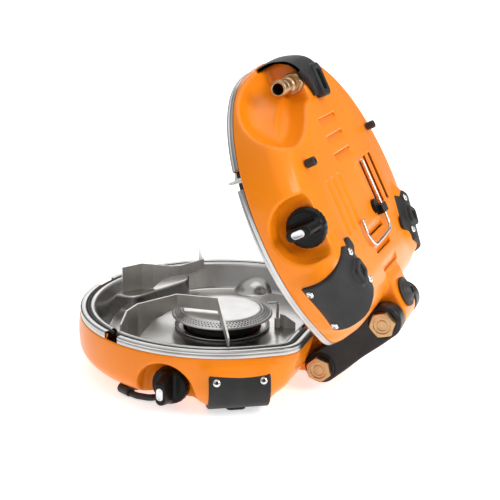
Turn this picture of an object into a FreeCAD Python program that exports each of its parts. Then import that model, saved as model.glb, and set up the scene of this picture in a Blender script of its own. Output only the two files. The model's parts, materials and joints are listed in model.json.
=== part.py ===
import FreeCAD, Part
import math
import os

# Folding two-burner camping stove: two round pressed-steel halves, each with its own
# burner, joined on the +X side by a pair of link arms that carry the gas across.
# Each half is modelled in its own local frame (mm): burner axis at x = y = 0, the
# surface it stands on at z = 0, hinge side at +X, front (the control knob) at -Y.
# The upper half is the mirror image of the lower one, swung open about the link arms.

V = FreeCAD.Vector
UP = V(0, 0, 1)
FRONT = V(0, -1, 0)

# ---- driving dimensions, mm and degrees -------------------------------------------
RIM_R = 132.0            # plan radius of the rim
HINGE_FLAT_X = 103.0     # straight hinge side of the plan outline
TANGENT_DEG = 55.0       # where the round outline turns into the two straight corners
CORNER_R = 26.0          # rounding of the two corners beside the hinge
CORNER_R_MIN = 12.0
RIM_Z = 59.5             # height of one half
MIRROR_Z = 59.8          # plane between the two halves when the stove is closed
WALL = 1.6               # shell sheet
BASE_Z = 8.2             # underside of the shell, standing on its feet
TRIM_W, TRIM_H, TRIM_T = 5.6, 6.2, 1.3
SEAT_Z = RIM_Z - TRIM_H  # step in the shell that the rim trim sits on
SEAT_STEP = 1.4
SHELL_TOP_Z = 58.2
FRONT_GAP = (-114.5, 8.5)    # gaps in the rim: plan direction in degrees, half width
FAR_GAP = (175.5, 13.0)
STRIP_NOTCH = (-117.2, 5.0)  # notch in the tray lip for the end of a pot support

PIVOT_X, PIVOT_Z = 109.24, 22.95
LINK_DEG = 48.03         # link arms away from closed, stored pose
HALF_DEG = 15.38         # upper half away from the link arms, stored pose
ARM_IN, ARM_OUT = 22.0, 40.0
ARM_R = 15.0
BOLT_R, BOLT_GAP = 5.0, 0.05
BOLT_HEAD_AF, BOLT_HEAD_T = 20.5, 6.7
POCKET_X = 93.2          # room in the rim for the link arms
POCKET_IN, POCKET_OUT = 20.5, 41.2
NOSE_R = 14.75           # rounding of the hinge block between the link arms
NOSE_X, NOSE_TOP_X = 82.0, 95.0

KNOB_Z = 20.4
KNOB_FACE_Y = -122.0
KNOB_R, KNOB_T = 16.5, 8.5
KNOB_GRIP_W, KNOB_GRIP_H, KNOB_TIP_R = 9.0, 18.0, 10.4
RECESS_Y = -112.6
RECESS_STAGES = ((20.0, 26.0, 5.5), (26.0, 28.5, 28.5))   # radius at the back, at the front, depth
RECESS_Z = 17.8
STEM_R = 4.0
STEM_END_Y = -99.7

TRAY_T = 0.8
TRAY_FLOOR_Z = 33.0
LIP_OUT, LIP_IN, FLOOR_IN = 9.2, 13.0, 24.0
LIP_Z0, LIP_Z1 = RIM_Z - 2.6, RIM_Z - 1.2

THROAT_R = 36.0
CAP_R = 37.5
CAP_Z = 51.5
HEAD_R = 47.5
MIXER_R = 8.5
ELECTRODE_R = 1.3
ELECTRODE_AT = (50.0, 15.0)
STRIP_T = 1.6            # sheet of the pot supports

COVER_HALF_W = 26.0
COVER_T = 2.6
COVERS = {"front": (-60.0, -4.4), "back": (60.0, 4.4), "end": (180.0, -4.0)}   # direction, sideways shift
CORNER_COVER_POINTS = [(112, 41), (135.4, 41), (139.4, 31.5), (138.4, 20), (131.6, 9.2), (118, 3.0), (112, 2.4),
                       (97, 2.4), (94.5, 5.8), (94.5, 12)]
END_COVER_POINTS = [(108, 41), (RIM_R + 0.5, 41), (RIM_R + 1.9, 32), (RIM_R + 0.6, 22), (RIM_R - 4.4, 11.5),
                    (119, 4.6), (113, 2.4), (97, 2.4), (94.5, 5.8), (94.5, 12), (108, 30)]
COVER_TOP_Z = 41.0
FOOT_U, FOOT_HALF = 109.0, 8.5
SCREW_R, SCREW_H = 3.3, 1.5
ROUND_FOOT_AT = (98.0, 0.0)
POST_AT = ((-44.0, -94.0), (-44.0, 94.0))
POST_R = 3.75

LOUVRE_R = (38.0, 54.3, 70.6)
LOUVRE_HALF = 23.0
LOUVRE_W = 7.0
LOUVRE_DROP = 2.0

PORT_X, PORT_Z = -107.0, 16.5
PORT_WALL_Y = -18.7
PORT_BORE_R = 4.7
WIRE_R = 1.3
WIRE_HOLES = ((-22.0, 30.0), (22.0, -29.0))

LINK_SPACING = 2 * (MIRROR_Z - PIVOT_Z)
PIVOT_1 = V(PIVOT_X, 0, PIVOT_Z)
PIVOT_2 = V(PIVOT_X + LINK_SPACING * math.sin(math.radians(LINK_DEG)), 0,
            PIVOT_Z + LINK_SPACING * math.cos(math.radians(LINK_DEG)))


# ---- small shape helpers ------------------------------------------------------------
def box(x0, x1, y0, y1, z0, z1):
    return Part.makeBox(x1 - x0, y1 - y0, z1 - z0, V(x0, y0, z0))


def cyl(r, length, base, axis=UP):
    return Part.makeCylinder(r, length, V(*base), axis)


def turned(shape, degrees, centre=(0, 0, 0), axis=UP):
    out = shape.copy()
    out.rotate(V(*centre), axis, degrees)
    return out


def moved(shape, x=0.0, y=0.0, z=0.0):
    out = shape.copy()
    out.translate(V(x, y, z))
    return out


def flipped_y(shape):
    return shape.mirror(V(0, 0, 0), V(0, 1, 0))


def fused(shapes):
    shapes = list(shapes)
    return shapes[0].fuse(shapes[1:]) if len(shapes) > 1 else shapes[0]


def group(shapes):
    return Part.makeCompound(list(shapes))


def polygon_face(points):
    return Part.Face(Part.makePolygon([V(*p) for p in points] + [V(*points[0])]))


def revolved(rz_points, base=(0, 0, 0)):
    face = polygon_face([(r, 0, z) for r, z in rz_points])
    face.translate(V(*base))
    return face.revolve(V(*base), UP, 360)


def ring(r_out, r_in, length, base, axis=UP):
    return cyl(r_out, length, base, axis).cut(cyl(r_in, length, base, axis))


def hex_prism(across_flats, length, base, axis):
    """Hexagonal bar from base along axis."""
    r = across_flats / math.sqrt(3)
    pts = [(r * math.cos(math.radians(60 * k + 30)), r * math.sin(math.radians(60 * k + 30)), 0)
           for k in range(6)]
    bar = polygon_face(pts).extrude(V(0, 0, length))
    bar.Placement = FreeCAD.Placement(V(*base), FreeCAD.Rotation(UP, axis))
    return bar


def tube_path(points, radius, bend):
    """Round bar along straight runs with a torus elbow of the given bend radius at each corner."""
    pts = [V(*p) for p in points]
    edges = []
    start = pts[0]
    for a, b, c in zip(pts, pts[1:], pts[2:]):
        d1 = (b - a).normalize()
        d2 = (c - b).normalize()
        turn = d1.getAngle(d2)
        cut = bend * math.tan(turn / 2)
        p1 = b - d1 * cut
        p2 = b + d2 * cut
        inward = (d2 - d1).normalize()
        centre = b + inward * (bend / math.cos(turn / 2))
        mid = centre - inward * bend
        edges.append(Part.LineSegment(start, p1).toShape())
        edges.append(Part.Arc(p1, mid, p2).toShape())
        start = p2
    edges.append(Part.LineSegment(start, pts[-1]).toShape())
    wire = Part.Wire(edges)
    circle = Part.Wire(Part.makeCircle(radius, pts[0], pts[1] - pts[0]))
    return wire.makePipeShell([circle], True, False)


# ---- plan outline of one half -------------------------------------------------------
def outline(inset, z):
    """Closed plan outline, moved inwards by inset."""
    r = RIM_R - inset
    flat = HINGE_FLAT_X - inset
    a = math.radians(TANGENT_DEG)
    run = (flat - r * math.cos(a)) / math.sin(a)
    corner_y = r * math.sin(a) - run * math.cos(a)
    rc = max(CORNER_R - inset, 12.0)
    tl = rc * math.tan(a / 2)
    end = V(flat - tl * math.sin(a), corner_y + tl * math.cos(a), z)
    flat_start = V(flat, corner_y - tl, z)
    centre = V(flat - rc, corner_y - tl, z)
    mid = centre + V(rc * math.cos(a / 2), rc * math.sin(a / 2), 0)
    touch = V(r * math.cos(a), r * math.sin(a), z)

    def low(p):
        return V(p.x, -p.y, p.z)

    return Part.Wire([Part.makeLine(flat_start, low(flat_start)),
                      Part.Arc(low(flat_start), low(mid), low(end)).toShape(),
                      Part.makeLine(low(end), low(touch)),
                      Part.Arc(low(touch), V(-r, 0, z), touch).toShape(),
                      Part.makeLine(touch, end),
                      Part.Arc(end, mid, flat_start).toShape()])


def slab(inset, z0, z1):
    return Part.Face(outline(inset, z0)).extrude(V(0, 0, z1 - z0))


def band(inset_out, inset_in, z0, z1):
    return slab(inset_out, z0, z1).cut(slab(inset_in, z0 - 1, z1 + 1))


def link_pockets(grow, z0=-2.0):
    """Room for the two link arms in the hinge side."""
    y0, y1 = POCKET_IN - grow, POCKET_OUT + grow
    return [box(POCKET_X - grow, 150, a, b, z0, 80) for a, b in ((y0, y1), (-y1, -y0))]


def trim_gap(z0, z1, mid_deg, half_w, r_in):
    """Cutter for a gap in the rim, centred on a plan direction."""
    return turned(box(r_in, RIM_R + 8, -half_w, half_w, z0, z1), mid_deg)


# ---- shell --------------------------------------------------------------------------
def bowl_profile(inset, top):
    """Half section of the bowl, from the axis out to the wall, moved inwards by inset."""
    o = inset
    edges = []
    pts = [V(0, 0, BASE_Z + o), V(84, 0, BASE_Z + o), V(114 - o * 0.4, 0, BASE_Z + 1.4 + o)]
    edges.append(Part.makeLine(pts[0], pts[1]))
    edges.append(Part.makeLine(pts[1], pts[2]))
    knee = V(RIM_R + 1.2 - o, 0, 24.0)
    bulge_top = V(RIM_R + 0.2 - o, 0, SEAT_Z - o)
    edges.append(Part.Arc(pts[2], V(RIM_R - 4.4 - o * 0.8, 0, 13.6 + o * 0.6), knee).toShape())
    edges.append(Part.Arc(knee, V(RIM_R + 1.9 - o, 0, 36.0), bulge_top).toShape())
    seat = V(RIM_R - SEAT_STEP - o, 0, SEAT_Z - o)
    rim = V(RIM_R - SEAT_STEP - o, 0, top)
    axis_top = V(0, 0, top)
    for p, q in zip([bulge_top, seat, rim, axis_top], [seat, rim, axis_top, pts[0]]):
        edges.append(Part.makeLine(p, q))
    return Part.Face(Part.Wire(edges))


def cover_profile(inset):
    """Section of a corner bulge in its own (outward, z) plane, moved inwards by inset."""
    pts = [(100, 47), (131.0, 47), (136.6, 31.5), (135.6, 21), (129.0, 11.5), (117.0, 5.6), (100, 5.0), (92, 8.6)]
    face = polygon_face([(u, 0, z) for u, z in pts])
    return face.makeOffset2D(-inset) if inset else face


def corner_bulge(name, inset):
    angle, shift = COVERS[name]
    half = COVER_HALF_W + 2.4 - inset
    bulge = cover_profile(inset)
    bulge.translate(V(0, -half, 0))
    bulge = bulge.extrude(V(0, 2 * half, 0))
    return turned(moved(bulge, y=shift), angle)


def hinge_nose(inset):
    """Middle block of the hinge side, between the two link arms."""
    r = NOSE_R - inset
    x, z = PIVOT_X, PIVOT_Z
    y = POCKET_IN - inset
    edges = [Part.makeLine(V(NOSE_X, -y, z - r), V(x, -y, z - r)),
             Part.Arc(V(x, -y, z - r), V(x + r, -y, z), V(x, -y, z + r)).toShape(),
             Part.makeLine(V(x, -y, z + r), V(NOSE_TOP_X, -y, z + r + 3)),
             Part.makeLine(V(NOSE_TOP_X, -y, z + r + 3), V(NOSE_X, -y, z - r))]
    return Part.Face(Part.Wire(edges)).extrude(V(0, 2 * y, 0))


def knob_recess(grow):
    """Arched recess for the control knob, open at the bottom edge."""
    y, z = RECESS_Y + grow, RECESS_Z
    parts = []
    for back, front, depth in RECESS_STAGES:
        low, high = back + grow, front + grow
        parts.append(Part.makeCone(low, high, depth, V(0, y, z), FRONT))
        ends = [Part.makePolygon([V(-w, end, -9), V(w, end, -9), V(w, end, z), V(-w, end, z), V(-w, end, -9)])
                for w, end in ((low, y), (high, y - depth))]
        parts.append(Part.makeLoft(ends, True, True))
        y -= depth
    return fused(parts)


def end_sector(points, half_w):
    """Profile swept round the burner axis, over the far end opposite the hinge."""
    angle, shift = COVERS["end"]
    half_deg = math.degrees(half_w / RIM_R)
    face = polygon_face([(u, 0, z) for u, z in points])
    return turned(face.revolve(V(0, 0, 0), UP, 2 * half_deg), angle + math.degrees(shift / RIM_R) - half_deg)


def end_cover_seat(grow):
    """Shallow seat that lets the end cover lie flush with the wall opposite the hinge."""
    top = COVER_TOP_Z + 0.1 + grow
    back = COVER_T - 0.1 + grow
    points = [(RIM_R + 0.5 - back, top), (RIM_R + 1.9 - back, 32), (RIM_R + 0.6 - back, 22),
              (RIM_R - 4.4 - back, 12.6), (120.5 - back, 8.4), (120.5 - back, -20), (150, -20), (150, top)]
    return end_sector(points, COVER_HALF_W + 0.1 + grow)


def port_scoop(grow):
    """Scoop in the far front shoulder of the upper half, around the gas inlet."""
    return Part.makeCylinder(30.0 + grow, 108.0 + grow, V(-119.0, PORT_WALL_Y + 0.1 + grow, 3.5), FRONT)


def bowl(inset, upper):
    """Outer form of the shell moved inwards by inset, solid inside."""
    top = 70.0 if inset else SHELL_TOP_Z
    face = bowl_profile(inset, top)
    body = face.revolve(V(0, 0, 0), UP, 360)
    a = math.radians(TANGENT_DEG)
    straight = turned(face, -TANGENT_DEG).extrude(V(math.sin(a), math.cos(a), 0) * 40)
    body = fused([body, straight, flipped_y(straight)])
    body = fused([body] + [corner_bulge(name, inset) for name in ("front", "back")])
    o = inset
    slope = polygon_face([(80 - o, -160, BASE_Z - 6), (80 - o, -160, BASE_Z + o), (92.5 - o, -160, 17 + o),
                          (HINGE_FLAT_X - o, -160, 50), (HINGE_FLAT_X - o, -160, 75), (170, -160, 75),
                          (170, -160, BASE_Z - 6)]).extrude(V(0, 320, 0))
    body = body.cut(slope).fuse(hinge_nose(inset))
    plan = slab(o + SEAT_STEP, SEAT_Z - o, 80).fuse(box(-200, 200, -200, 200, 0, SEAT_Z - o))
    body = body.common(plan)
    body = body.cut(link_pockets(o) + [knob_recess(o), end_cover_seat(o)])
    if upper:
        body = body.cut(port_scoop(o))
    return body


def louvre(radius):
    """One pressed louvre of the base, on the +X side: its opening and its sloping flap."""
    x0 = radius - LOUVRE_W
    opening = box(x0, radius, -LOUVRE_HALF, LOUVRE_HALF, BASE_Z - 1, BASE_Z + WALL + 1)
    z = BASE_Z
    flap = polygon_face([(x0, -LOUVRE_HALF, z), (x0, -LOUVRE_HALF, z + WALL),
                         (radius - 0.6, -LOUVRE_HALF, z + WALL + LOUVRE_DROP),
                         (radius - 0.6, -LOUVRE_HALF, z + 0.4 + LOUVRE_DROP)])
    flap = flap.extrude(V(0, 2 * LOUVRE_HALF, 0))
    cheek = polygon_face([(x0, -LOUVRE_HALF, z), (x0, -LOUVRE_HALF, z + WALL),
                          (radius, -LOUVRE_HALF, z + WALL + LOUVRE_DROP), (radius, -LOUVRE_HALF, z)])
    cheek = cheek.extrude(V(0, 1.0, 0))
    return opening, fused([flap, cheek, flipped_y(cheek)])


def shell(upper):
    body = bowl(0, upper).cut(bowl(WALL, upper))
    openings, flaps = [], []
    for radius in LOUVRE_R:
        opening, flap = louvre(radius)
        for k in range(4):
            openings.append(turned(opening, 90 * k))
            flaps.append(turned(flap, 90 * k))
    body = body.cut(openings).fuse(flaps)
    stem_hole = cyl(STEM_R + 1.5, 12, (0, RECESS_Y - 6, KNOB_Z), V(0, 1, 0))
    bolt_hole = cyl(BOLT_R + 1.0, 60, (PIVOT_X, -30, PIVOT_Z), V(0, 1, 0))
    body = body.cut([stem_hole, bolt_hole])
    if upper:
        body = body.cut(cyl(5.9, 8, (PORT_X, -20, PORT_Z), V(0, 1, 0)))
        body = body.cut([cyl(WIRE_R + 0.3, 6, (x, y, BASE_Z - 2)) for x, y in WIRE_HOLES])
    body = body.cut(trim_gap(SEAT_Z - 0.3, 70, FRONT_GAP[0], FRONT_GAP[1], 122))
    return body


# ---- rim, gasket and tray -----------------------------------------------------------
def rim_trim():
    hem = band(0, TRIM_W, RIM_Z - TRIM_H, RIM_Z)
    hem = hem.cut(band(TRIM_T, TRIM_W + 6, RIM_Z - TRIM_H - 1, RIM_Z - TRIM_T + 0.1))
    for angle, half in (FRONT_GAP, FAR_GAP):
        hem = hem.cut(trim_gap(RIM_Z - 20, 70, angle, half, 118))
    return hem.cut(link_pockets(0))


def gasket():
    strip = band(TRIM_W + 0.1, 9.0, RIM_Z - 3.6, RIM_Z - 0.1)
    strip = strip.cut(trim_gap(RIM_Z - 20, 70, FRONT_GAP[0], FRONT_GAP[1], 118))
    return strip.cut(link_pockets(WALL + 0.1))


def box_boss(inset):
    """Raised pressing across the far side of the lower tray."""
    pts = [(-116, 3), (-97, 1), (-91, 5), (-66, 70), (-74, 92), (-126, 44)]
    face = polygon_face([(x, y, TRAY_FLOOR_Z - 2) for x, y in pts])
    if inset:
        face = face.makeOffset2D(-inset)
    return face.extrude(V(0, 0, 18.5 - inset))


def dome_boss(inset):
    """Half dome at the back of the tray."""
    dome = Part.makeSphere(21.0 - inset, V(-8, 112, TRAY_FLOOR_Z - 3))
    return dome.common(box(-40, 60, 60, 140, TRAY_FLOOR_Z - 2, 60))


def tray(upper):
    def pan(extra, z0, z1):
        return Part.makeLoft([outline(FLOOR_IN + extra, z0), outline(LIP_IN + extra, z1)], True, True)

    outer = pan(0, TRAY_FLOOR_Z - TRAY_T, LIP_Z1)
    inner = pan(TRAY_T, TRAY_FLOOR_Z, LIP_Z1 + 0.1)
    bosses = [dome_boss(0)] if upper else [dome_boss(0), box_boss(0)]
    cores = [dome_boss(TRAY_T)] if upper else [dome_boss(TRAY_T), box_boss(TRAY_T)]
    wall = outer.cut(inner.cut(bosses)).cut(cores)
    lip = band(LIP_OUT, LIP_IN + TRAY_T, LIP_Z0, LIP_Z1)
    body = wall.fuse(lip.cut(link_pockets(WALL + 0.1)))
    body = body.cut(cyl(THROAT_R + 0.2, 10, (0, 0, TRAY_FLOOR_Z - 5)))
    body = body.cut(trim_gap(RIM_Z - 8.0, 70, *STRIP_NOTCH, 115))
    return body.cut(cyl(ELECTRODE_R + 1.7, 10, (ELECTRODE_AT[0], ELECTRODE_AT[1], TRAY_FLOOR_Z - 5)))


# ---- burner and gas path ------------------------------------------------------------
def burner_parts():
    shield = revolved([(THROAT_R + 0.2, TRAY_FLOOR_Z + 0.1), (43.5, TRAY_FLOOR_Z + 0.1), (45, TRAY_FLOOR_Z + 2.6),
                       (44.1, TRAY_FLOOR_Z + 3.2), (42.5, TRAY_FLOOR_Z + 1.1), (THROAT_R + 0.2, TRAY_FLOOR_Z + 1.1)])
    throat = revolved([(12, 29.1), (THROAT_R - 2, 30.2), (THROAT_R, 34), (THROAT_R, 46), (THROAT_R - 1.2, 46),
                       (THROAT_R - 1.2, 34.6), (THROAT_R - 3, 31.6), (12, 30.5)])
    head = revolved([(THROAT_R - 1.2, 46), (HEAD_R - 1.5, 46), (HEAD_R, 46.8), (HEAD_R, 48), (CAP_R + 0.2, 51),
                     (CAP_R + 0.2, 49.6), (HEAD_R - 2.2, 47.2), (THROAT_R - 1.2, 47.2)])
    cap = revolved([(0, CAP_Z + 0.3), (CAP_R - 2, CAP_Z), (CAP_R, CAP_Z - 0.8), (CAP_R, CAP_Z - 2),
                    (CAP_R - 3, CAP_Z - 1.6), (0, CAP_Z - 1.1)])
    return {"drip_shield": shield, "burner_throat": throat, "burner_head": head, "burner_cap": cap}


def mixer_tube():
    """Venturi tube from the jet, along the half, and up into the burner throat."""
    z = KNOB_Z
    barrel = cyl(MIXER_R, 77, (0, -75, z), V(0, 1, 0))
    bell = Part.makeCone(MIXER_R + 1.8, MIXER_R, 12, V(0, -80, z), V(0, 1, 0))
    riser = cyl(11.9, 16, (0, 0, 15))
    outer = fused([barrel, bell, riser])
    core = cyl(MIXER_R - 1.2, 74, (0, -80, z), V(0, 1, 0))
    flare = Part.makeCone(MIXER_R + 0.6, MIXER_R - 1.2, 12, V(0, -80, z), V(0, 1, 0))
    return outer.cut([core, flare, cyl(10.7, 18, (0, 0, 16.2))])


def valve_body():
    """Brass gas valve behind the knob recess, with its jet and inlet boss."""
    z = KNOB_Z
    body = fused([cyl(9.0, 17, (0, -109.9, z), V(0, 1, 0)), hex_prism(15, 6, (0, -93.2, z), V(0, 1, 0)),
                  cyl(3.2, 8, (0, -88, z), V(0, 1, 0)), cyl(4.5, 16, (4, -101, z), V(1, 0, 0))])
    bore = cyl(STEM_R + 0.05, 10.5, (0, -110, z), V(0, 1, 0))
    jet = cyl(0.8, 12, (0, -90, z), V(0, 1, 0))
    return body.cut([bore, jet])


def gas_tube():
    """Copper feed from the manifold block in the hinge nose to the valve."""
    z = KNOB_Z
    return tube_path([(20.1, -101, z), (46, -101, z), (68, -76, z + 1), (82, -30, z + 2),
                      (90, -8, z + 2.5), (101.9, -8, z + 2.5)], 3.0, 9.0)


def manifold_block():
    x, z = PIVOT_X, PIVOT_Z
    block = box(x - 7, x + 7, -POCKET_IN + WALL + 0.1, POCKET_IN - WALL - 0.1, z - 8.5, z + 8.5)
    return block.cut(cyl(BOLT_R, 60, (x, -30, z), V(0, 1, 0)))


def electrode():
    """Spark electrode: a rod beside the burner with its tip hooked over the rim."""
    x, y = ELECTRODE_AT
    rod = cyl(ELECTRODE_R, 27, (x, y, 30))
    tip = tube_path([(x, y, 55.5), (x, y, 58.2), (x - 8.5, y - 2.5, 57.4)], 0.9, 1.5)
    sleeve = ring(ELECTRODE_R + 1.5, ELECTRODE_R, 13, (x, y, 30))
    return rod.fuse(tip), sleeve


def electrode_guard():
    """Bent leaf fixed to the tray that shields the electrode from draughts."""
    pts = [(51, 21), (57, 14), (67, 18)]
    return strip([(x, y, TRAY_FLOOR_Z + 0.1, TRAY_FLOOR_Z + h) for (x, y), h in zip(pts, (12, 14, 6))], 1.2)


# ---- pot supports -------------------------------------------------------------------
def strip(points, thickness=STRIP_T):
    """Sheet standing on edge through plan points, each with its bottom and top height."""
    parts = []
    for (xa, ya, la, ha), (xb, yb, lb, hb) in zip(points, points[1:]):
        along = V(xb - xa, yb - ya, 0).normalize()
        side = V(-along.y, along.x, 0) * (thickness / 2)
        face = polygon_face([(xa, ya, la), (xb, yb, lb), (xb, yb, hb), (xa, ya, ha)])
        face.translate(side * -1)
        parts.append(face.extrude(side * 2))
    for x, y, low, high in points[1:-1]:
        parts.append(cyl(thickness / 2, high - low, (x, y, low)))
    return fused(parts)


def front_support(upper):
    if upper:
        pts = [(64, 70, 35, 64), (35, 17, 53.5, 66), (-1, 16, 53.5, 66), (-46, 104, 57.6, 65.5)]
    else:
        pts = [(-57.2, -96.5, 47, 59.6), (-61, -77, 39, 65.5), (-60, -58, 33.1, 66), (-52, -43.8, 46, 66),
               (-38, -19, 53.5, 66), (2, -15, 53.5, 66), (47.5, -104, 57.6, 65.5)]
    return strip(pts)


def back_support(upper):
    if upper:
        return strip([(-98, -40, 33.2, 62), (-82, -52, 40, 66), (-67, -87, 48, 66), (-52.5, -105, 57, 66),
                      (-54.5, -117, 54, 66)])
    top = TRAY_FLOOR_Z + 16.6
    return strip([(-110, 10, top, 75), (-97, 27, top, 76), (-88, 32.7, top + 0.2, 74.5), (-80, 37.9, 58, 73),
                  (-72, 43, 61, 71.5), (-66, 49, 61, 71), (-54, 82, 60, 70), (-62, 90, 63, 78)])


# ---- covers, feet and their screws --------------------------------------------------
def cover(name, shell_solid):
    """Moulded cover that wraps from the side wall under the base to a foot."""
    angle, shift = COVERS[name]
    half = COVER_HALF_W
    if name == "end":
        skin = end_sector(END_COVER_POINTS, half)
    else:
        face = polygon_face([(u, -half, z) for u, z in CORNER_COVER_POINTS])
        skin = turned(moved(face.extrude(V(0, 2 * half, 0)), y=shift), angle)
    tongue = box(86, 96, -half + 4, -half + 17, 5.8, 12)
    foot = box(FOOT_U - FOOT_HALF, FOOT_U + FOOT_HALF, -FOOT_HALF, FOOT_HALF, 0, 6)
    recess = box(FOOT_U - 5.0, FOOT_U + 5.0, -5.0, 5.0, -3, 2.0)
    base = turned(moved(tongue.fuse(foot), y=shift), angle)
    return skin.fuse(base).cut([turned(moved(recess, y=shift), angle), shell_solid])


def cover_screw_spots():
    """Centre, outward direction and plan angle of the four pan-head screws of each corner cover."""
    spots = []
    for name in ("front", "back"):
        angle, shift = COVERS[name]
        spots += [(V(137.8, t + shift, 35.2), V(1, 0, 0.42).normalize(), angle) for t in (-19.6, 19.6)]
        spots += [(V(101.5, t + shift, 2.4), V(0, 0, -1), angle) for t in (-16.5, 16.5)]
    return spots


def pan_screw(at, direction):
    head = Part.makeCone(SCREW_R, SCREW_R - 1.0, SCREW_H, at - direction * 0.3, direction)
    return head.cut(Part.makeCylinder(1.1, 2.0, at + direction * (SCREW_H - 1.1), direction))


def cover_screws():
    return [turned(pan_screw(at, direction), angle) for at, direction, angle in cover_screw_spots()]


def round_foot():
    """Round rubber foot under the hinge nose, with a square recess."""
    x, y = ROUND_FOOT_AT
    body = cyl(13.5, 3.2, (x, y, BASE_Z - 3.2)).fuse(cyl(7.5, 6.0, (x, y, 0)))
    return body.cut(box(x - 3, x + 3, y - 3, y + 3, -1, 2.5))


def foot_posts():
    return [cyl(POST_R, BASE_Z, (x, y, 0)) for x, y in POST_AT]


# ---- control knob -------------------------------------------------------------------
def knob():
    """Round knob with a tall bar grip across its face."""
    y, z = KNOB_FACE_Y, KNOB_Z
    disc = cyl(KNOB_R, KNOB_T, (0, y, z), V(0, 1, 0))
    half = KNOB_GRIP_W / 2
    grip = box(-half, half, y - KNOB_GRIP_H, y + 1, z - KNOB_R, z + KNOB_R)
    grip = grip.common(Part.makeCone(KNOB_R - 0.4, KNOB_TIP_R, KNOB_GRIP_H + 1, V(0, y + 1, z), FRONT))
    return disc.fuse(grip).cut(cyl(STEM_R, 6.5, (0, y + 2.0, z), V(0, 1, 0)))


def knob_badge():
    """Plain oval inlay on the end of the grip."""
    plate = Part.Face(Part.Wire(Part.Ellipse(V(0, 0, 0), 5.6, 3.0).toShape())).extrude(V(0, 0, 0.8))
    plate.rotate(V(0, 0, 0), UP, 90)
    plate.rotate(V(0, 0, 0), V(1, 0, 0), 90)
    plate.translate(V(0, KNOB_FACE_Y - KNOB_GRIP_H, KNOB_Z))
    return plate


def valve_stem():
    y = KNOB_FACE_Y + 2.0
    return cyl(STEM_R, STEM_END_Y - y, (0, y, KNOB_Z), V(0, 1, 0))


# ---- hinge --------------------------------------------------------------------------
def link_arm(side):
    """One link arm in the closed position, from the lower pivot to the upper one."""
    y = ARM_IN if side > 0 else -ARM_OUT
    t = ARM_OUT - ARM_IN
    z2 = PIVOT_Z + LINK_SPACING
    arm = fused([cyl(ARM_R, t, (PIVOT_X, y, z), V(0, 1, 0)) for z in (PIVOT_Z, z2)]
                + [box(PIVOT_X - ARM_R, PIVOT_X + ARM_R, y, y + t, PIVOT_Z, z2)])
    bore = BOLT_R + BOLT_GAP
    return arm.cut([cyl(bore, t + 2, (PIVOT_X, y - 1, z), V(0, 1, 0)) for z in (PIVOT_Z, z2)])


def hinge_bolt(side):
    """Banjo bolt: hexagon head with a dished face, plain shank through the arm, into the block."""
    head_y = side * (ARM_OUT + 0.3)
    out = V(0, side, 0)
    head = hex_prism(BOLT_HEAD_AF, BOLT_HEAD_T, (PIVOT_X, head_y, PIVOT_Z), out)
    dish = Part.makeCylinder(7.6, 2.0, V(PIVOT_X, head_y + side * (BOLT_HEAD_T - 1.2), PIVOT_Z), out)
    shank = Part.makeCylinder(BOLT_R, ARM_OUT + 0.3 - 4.0, V(PIVOT_X, side * 4.0, PIVOT_Z), out)
    gas_way = Part.makeCylinder(1.8, 26.0, V(PIVOT_X, side * 3.0, PIVOT_Z), out)
    return head.fuse(shank).cut([dish, gas_way])


def hinge_washer(side):
    y = POCKET_IN + 0.05 if side > 0 else -(POCKET_IN + 1.4)
    return ring(9.5, BOLT_R + 0.05, 1.35, (PIVOT_X, y, PIVOT_Z), V(0, 1, 0))


# ---- pieces that only one half has --------------------------------------------------
def port_fitting():
    """Brass gas inlet: hexagon against the scoop wall and a stepped nose towards the front."""
    x, z = PORT_X, PORT_Z
    y = PORT_WALL_Y
    body = fused([hex_prism(17.0, 8.0, (x, y, z), FRONT), cyl(5.6, 14, (x, y - 1, z), V(0, 1, 0)),
                  cyl(5.9, 36, (x, y - 7, z), FRONT), cyl(7.2, 3.0, (x, y - 9, z), FRONT),
                  cyl(7.2, 3.0, (x, y - 15, z), FRONT), cyl(6.9, 8.0, (x, y - 35, z), FRONT)])
    return body.cut(cyl(PORT_BORE_R, 62, (x, y + 13, z), FRONT))


def wire_bail():
    """Spring wire on the base: both ends pass through the sheet, held by one clip."""
    z = BASE_Z - 3.4
    (xa, ya), (xb, yb) = WIRE_HOLES
    return tube_path([(xa, ya, BASE_Z + 6), (xa, ya, z), (27, 30.5, z), (43, 18, z), (45, -14, z), (36, -33, z),
                      (xb, yb, z), (xb, yb, BASE_Z + 6)], WIRE_R, 3.5)


def wire_clip():
    """Moulded saddle that holds the wire down, screwed to the base."""
    saddle = box(21, 29, 20, 35, BASE_Z - 6.2, BASE_Z).fuse(cyl(6.5, 3.0, (20, 18, BASE_Z - 3)))
    channel = box(12, 36, 28.0, 33.0, BASE_Z - 4.9, BASE_Z + 1)
    return saddle.cut(channel)


def dust_cap():
    """Rubber cap on its strap, tucked under the front edge of the lower half."""
    z = 4.9
    cap = cyl(4.6, 13.0, (-53.0, -106.0, z), V(0.9, -0.43, 0)).cut(cyl(3.0, 9.0, (-50.0, -107.4, z), V(-0.9, 0.43, 0)))
    strap = tube_path([(-44.0, -110.3, 3.3), (-34.0, -114.0, 3.3), (-22.0, -114.0, 3.3), (-10.0, -106.0, 3.3)], 2.9, 9.0)
    return cap.fuse(strap)


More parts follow.
